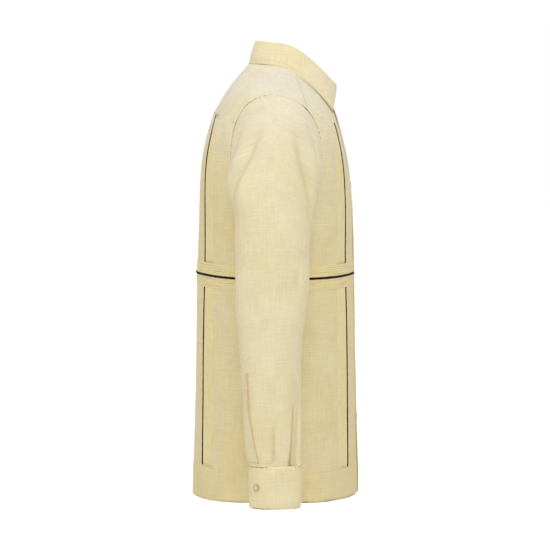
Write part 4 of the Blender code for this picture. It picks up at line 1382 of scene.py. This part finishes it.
# The whole lower edge of the leaf, from tip to tip.
def leafEdge():
    right = np.array(collarEdge[2:])
    return np.concatenate([right, right[-2::-1] * (-1, 1, 1)])


def makeCollar():
    stand = cloth("collar_stand", "collarStand", 3, 52, 1.0)
    leaf = cloth("collar_leaf", "collarLeaf", 3, 52, 0.8)
    under = [rayTree(piece) for piece in (yokePiece, backPiece, frontRight, frontLeft)]
    for piece, nodeName in ((stand, "collar_stand"), (leaf, "collar_leaf")):
        mesh = piece.data
        points = pointsOf(mesh)
        turn = np.arctan2(points[:, 0], points[:, 1] + 0.03)
        shade, bright = 0.0, 0.0
        if piece is leaf:
            away = outward(mesh, awayFromNeck(points))
            points = points + away * (softWaves(points, 71, 0.06) * collar["swell"])[:, None]
            dent = np.linalg.norm(points - np.array(collar["dentAt"]), axis=1)
            points -= away * (collar["dentDeep"] * hill(dent, collar["dentWide"]))[:, None]
            fromFront = 180 - np.degrees(np.abs(turn))
            press = softSteps(collar["pressFrom"], collar["pressFull"], fromFront)
            for k in np.nonzero(press > 0.01)[0]:
                place = nearestOn(under, points[k])[0]
                gap = np.linalg.norm(points[k] - place)
                if gap < collar["pressReach"]:
                    near = (collar["pressReach"] - gap) / (collar["pressReach"] - collar["pressNear"])
                    toShoulder = (place - points[k]) / max(gap, 1e-6)
                    points[k] += toShoulder * collar["pressBy"] * press[k] * min(1.0, near)
            fromStitches = alongPath(points, leafEdge())[0] - collar["stitchedIn"]
            shade = collar["stitchShade"] * hill(fromStitches, 0.0010)
            points -= away * (collar["groove"] * hill(fromStitches, 0.0012))[:, None]
            setPoints(mesh, points)
            bright = collar["bright"]
        setUv(mesh, turn * collar["uvRadius"], points[:, 2])
        finishCloth(piece, nodeName, collar["tint"], shade, bright)
    return stand, leaf


collarStand, collarLeaf = makeCollar()


# Front placket: shade and lost light under the collar's points, tint above and how much more lower down; the
# tint deepening lower down is painted shade, as on the fronts.
placket = {"half": 0.0150, "stitchedAt": 0.0135, "shade": 0.50, "lost": 0.35, "tint": 0.55, "lowTint": 0.45}


def makePlacket():
    piece = cloth("front_placket", "frontPlacket", 3, 50, 1.0)
    mesh = piece.data
    points = pointsOf(mesh)
    edge = np.abs(np.abs(points[:, 0]) - placket["half"])
    lift = -0.0003 * hill(edge, 0.0012) + softWaves(points, 81, 0.07) * 0.0002
    points[:, 1] -= lift - buttonDimples(points)
    setPoints(mesh, points)
    shade = placket["shade"] * softSteps(-0.100, -0.080, points[:, 2])
    # deeper lower down: painted shade, as on the fronts
    tint = placket["tint"] + placket["lowTint"] * softSteps(-0.24, -0.40, points[:, 2])
    setUv(mesh, points[:, 0], points[:, 2])
    finishCloth(piece, "front_placket", tint, shade, -placket["lost"] * shade)
    return piece


placketPiece = makePlacket()
print("collar and placket done")


# Buttons.
# One button round Z with its back at height 0: dished face, rim, four holes.
def buttonShape():
    bpy.ops.object.select_all(action="DESELECT")
    bpy.ops.mesh.primitive_cylinder_add(vertices=40, radius=button["radius"], depth=button["thick"],
                                        location=(0, 0, button["thick"] / 2))
    made = bpy.context.active_object
    bpy.ops.object.transform_apply(location=True, rotation=True, scale=True)
    bpy.ops.object.mode_set(mode="EDIT")
    shape = bmesh.from_edit_mesh(made.data)
    for face in shape.faces:
        face.select_set(face.normal.z > 0.9)
    shape.select_flush_mode()
    bmesh.update_edit_mesh(made.data)
    bpy.ops.mesh.inset(thickness=button["rim"])
    bpy.ops.mesh.inset(thickness=button["rim"] * 0.5)
    bpy.ops.transform.translate(value=(0, 0, -button["dish"]))
    bpy.ops.object.mode_set(mode="OBJECT")
    edge = made.modifiers.new("edge", "BEVEL")
    edge.width = 0.00035
    edge.segments = 3
    edge.limit_method = "ANGLE"
    edge.angle_limit = math.radians(35)
    applyModifiers(made)
    for k in range(4):
        turn = math.radians(45 + 90 * k)
        x, y = button["holeSpread"] * math.cos(turn), button["holeSpread"] * math.sin(turn)
        bpy.ops.object.select_all(action="DESELECT")
        bpy.ops.mesh.primitive_cylinder_add(vertices=14, radius=button["holeRadius"], depth=0.01,
                                            location=(x, y, 0))
        drill = bpy.context.active_object
        cut = made.modifiers.new("hole", "BOOLEAN")
        cut.object = drill
        cut.operation = "DIFFERENCE"
        applyModifiers(made)
        bpy.data.objects.remove(drill)
    return made


# One stitch along X, 1 long: a small rounded bar.
def stitchShape():
    bpy.ops.object.select_all(action="DESELECT")
    bpy.ops.mesh.primitive_uv_sphere_add(segments=6, ring_count=5, radius=0.5)
    made = bpy.context.active_object
    bpy.ops.transform.rotate(value=math.pi / 2, orient_axis="Y", center_override=(0, 0, 0))
    bpy.ops.object.transform_apply(location=True, rotation=True, scale=True)
    mesh = made.data
    points = pointsOf(mesh)
    faces = [tuple(p.vertices) for p in mesh.polygons]
    bpy.data.objects.remove(made)
    return points, faces


stitchPoints, stitchFaces = stitchShape()


# Copies of one small shape at many frames, as one mesh. A frame is a place and three scaled axes.
def joinCopies(name, frames, material, points, faces):
    total = len(points)
    allPoints = np.concatenate([at + points[:, :1] * x + points[:, 1:2] * y + points[:, 2:] * z
                                for at, x, y, z in frames])
    allFaces = []
    for k in range(len(frames)):
        allFaces += [tuple(i + k * total for i in face) for face in faces]
    made = linkMesh(name, smoothMesh(name, allPoints, allFaces), material)
    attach(made, "root")
    return made


sewing = {
    "length": 0.0023,
    "gap": 0.0009,
    "thick": 0.00045,
    "sink": 0.00006,
    "armholeLow": -0.205,  # no row shows in the armpit
    "aboveHem": 0.0014,
}


# Frames of a row of stitches along a line of points with a normal at each.
def stitchFrames(line, normals):
    run = np.concatenate([[0], np.cumsum(np.linalg.norm(np.diff(line, axis=0), axis=1))])
    count = int(run[-1] / (sewing["length"] + sewing["gap"]))
    frames = []
    for k in range(count):
        start = (k + 0.5) * run[-1] / count
        ends = [np.array([np.interp(start + s, run, line[:, axis]) for axis in range(3)])
                for s in (-sewing["length"] / 2, sewing["length"] / 2)]
        normal = unit(np.array([np.interp(start, run, normals[:, axis]) for axis in range(3)]))
        step = ends[1] - ends[0]
        across = unit(np.cross(normal, step))
        middle = (ends[0] + ends[1]) / 2 - normal * sewing["sink"]
        frames.append((middle, step, across * sewing["thick"], normal * sewing["thick"]))
    return frames


# A line laid on the nearest of some pieces, with the way they face there.
def laidLine(line, trees, guide):
    places, normals = [], []
    for p, g in zip(line, np.broadcast_to(guide, line.shape)):
        place, facing = nearestOn(trees, p + g * 0.003)
        places.append(place)
        normals.append(facing if facing @ g > 0 else -facing)
    return np.array(places), np.array(normals)


# A row on the back or fronts, by distance from the middle and height.
def bodyRow(bodyMap, distances, heights, lift=0.0):
    line = bodyMap.place(distances, heights, lift)
    above = bodyMap.place(distances, heights, lift + 0.001)
    return stitchFrames(line, unit(above - line))


# A row round or along an arm piece, by turn and height.
def armRow(pieceTree, side, turns, heights):
    line, normals = [], []
    for turn, z in zip(turns, heights):
        ray = armRay(turn, side)
        start = Vector(armPoint(z, side)) + ray * 0.12
        place, facing = pieceTree.ray_cast(start, -ray)[:2]
        if place is not None:
            line.append(np.array(place))
            normals.append(np.array(facing if facing.dot(ray) > 0 else -facing))
    return stitchFrames(np.array(line), np.array(normals))


def sewPiece(name, frames):
    joinCopies(name, frames, sewingThread, stitchPoints, stitchFaces)


def sewCollar():
    line = resample(leafEdge(), 0.004)
    leaf = rayTree(collarLeaf)
    guide = awayFromNeck(line)
    edge, normals = laidLine(line, [leaf], guide)
    inward = unit(np.cross(normals, unit(np.gradient(edge, axis=0))))
    inward *= np.sign(inward[:, 2:])
    row, facing = laidLine(edge + inward * collar["stitchedIn"], [leaf], normals)
    sewPiece("collarStitching", stitchFrames(row[2:-2], facing[2:-2]))


def sewArmhole(side):
    trees = [rayTree(piece) for piece in (backPiece, fronts[side], yokePiece)]
    line = resample(armholes[side], 0.004)
    away = line - line.mean(axis=0)
    away[:, 0] = 0
    away = unit(away)
    inside = line + away * 0.0075 - np.array([0.0035 * side, 0, 0])
    row, normals = laidLine(inside, trees, unit(away * 0.4 + np.array([side, 0, 0])))
    return [f for f in stitchFrames(row, normals) if f[0][2] > sewing["armholeLow"]]


def sewHem():
    frames = []
    for bodyMap in (backMap, frontMap):
        distances = np.linspace(-0.320, 0.320, 160)
        frames += bodyRow(bodyMap, distances, hemLine(distances) + sewing["aboveHem"])
    sewPiece("hemStitching", frames)


def sewArms():
    frames = []
    for side in (-1, 1):
        cuffTree = rayTree(cuffPieces[side])
        turns = np.linspace(0, 360, 120)
        for z in (cuff["top"] - cuff["stitchedIn"], cuff["bottom"] + cuff["stitchedIn"]):
            frames += armRow(cuffTree, side, turns, np.full(120, z))
        placketTree = rayTree(sleevePlackets[side])
        for turn in sleevePlacket["stitchedTurns"]:
            heights = np.linspace(*sleevePlacket["stitchedHeights"], 40)
            frames += armRow(placketTree, side, np.full(40, turn), heights)
        for z in sleevePlacket["boxHeights"]:
            turns = np.linspace(*sleevePlacket["boxTurns"], 20)
            frames += armRow(placketTree, side, turns, np.full(20, z))
    sewPiece("sleeveStitching", frames)


def sewPlacket():
    placketTree = rayTree(placketPiece)
    frames = []
    for x in (-placket["stitchedAt"], placket["stitchedAt"]):
        places, normals = [], []
        for z in np.linspace(-0.712, -0.062, 200):
            place, facing = placketTree.ray_cast(Vector((x, -0.16, z)), Vector((0, 1, 0)))[:2]
            if place is not None:
                places.append(np.array(place))
                normals.append(np.array(facing if facing.y < 0 else -facing))
        frames += stitchFrames(np.array(places), np.array(normals))
    sewPiece("placketStitching", frames)


sewCollar()
sewHem()
sewPiece("armholeStitching", sewArmhole(-1) + sewArmhole(1))
sewArms()
sewPlacket()
print("stitching done")


# Place and facing of a CAD button.
def buttonSpot(nodeName):
    points = np.unique(pointsOf(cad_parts[nodeName].data).round(6), axis=0)
    middle = points.mean(axis=0)
    facing = np.linalg.svd(points - middle)[2][2]
    guide = np.array([0, -1.0, 0])
    if "cuff" in nodeName:
        guide = middle - armPoint(middle[2], np.sign(middle[0]))
    if facing @ guide < 0:
        facing = -facing
    depth = (points - middle) @ facing
    sunk = button["pressed"] if nodeName[-1].isdigit() else button["seat"]
    return middle + facing * (depth.min() - sunk), facing


def makeButtons():
    model = buttonShape()
    points = pointsOf(model.data)
    faces = [tuple(p.vertices) for p in model.data.polygons]
    crosses = []
    for nodeName in sorted(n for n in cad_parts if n.startswith("button_")):
        at, facing = buttonSpot(nodeName)
        right = unit(np.cross([0, 0, 1.0], facing))
        up = np.cross(facing, right)
        tilt = math.radians(sum(map(ord, nodeName)) % 40 - 20)
        x = right * math.cos(tilt) + up * math.sin(tilt)
        y = -right * math.sin(tilt) + up * math.cos(tilt)
        placed = at + points[:, :1] * x + points[:, 1:2] * y + points[:, 2:] * facing
        mesh = smoothMesh(nodeName, placed, faces)
        piece = linkMesh("shell" + nodeName.title().replace("_", ""), mesh, buttonShell)
        # the rim value paints the shade round each button's edge
        setValue(mesh, "rim", softSteps(*button["rimFrom"], np.hypot(points[:, 0], points[:, 1])) * 0.8)
        bpy.ops.object.select_all(action="DESELECT")
        piece.select_set(True)
        bpy.context.view_layer.objects.active = piece
        bpy.ops.object.shade_smooth_by_angle(angle=math.radians(40))
        piece.select_set(False)
        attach(piece, "root")
        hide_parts(nodeName)
        spread = button["holeSpread"] * math.sqrt(0.5)
        level = button["thick"] - button["dish"] + 0.0001
        for k in (-1, 1):  # two bars of thread through the holes
            middle = at + y * spread * k + facing * level
            crosses.append((middle, x * spread * 3.0, y * 0.0009, facing * 0.0009))
    bpy.data.objects.remove(model)
    joinCopies("buttonThread", crosses, sewingThread, stitchPoints, stitchFaces)


makeButtons()
print("buttons done")
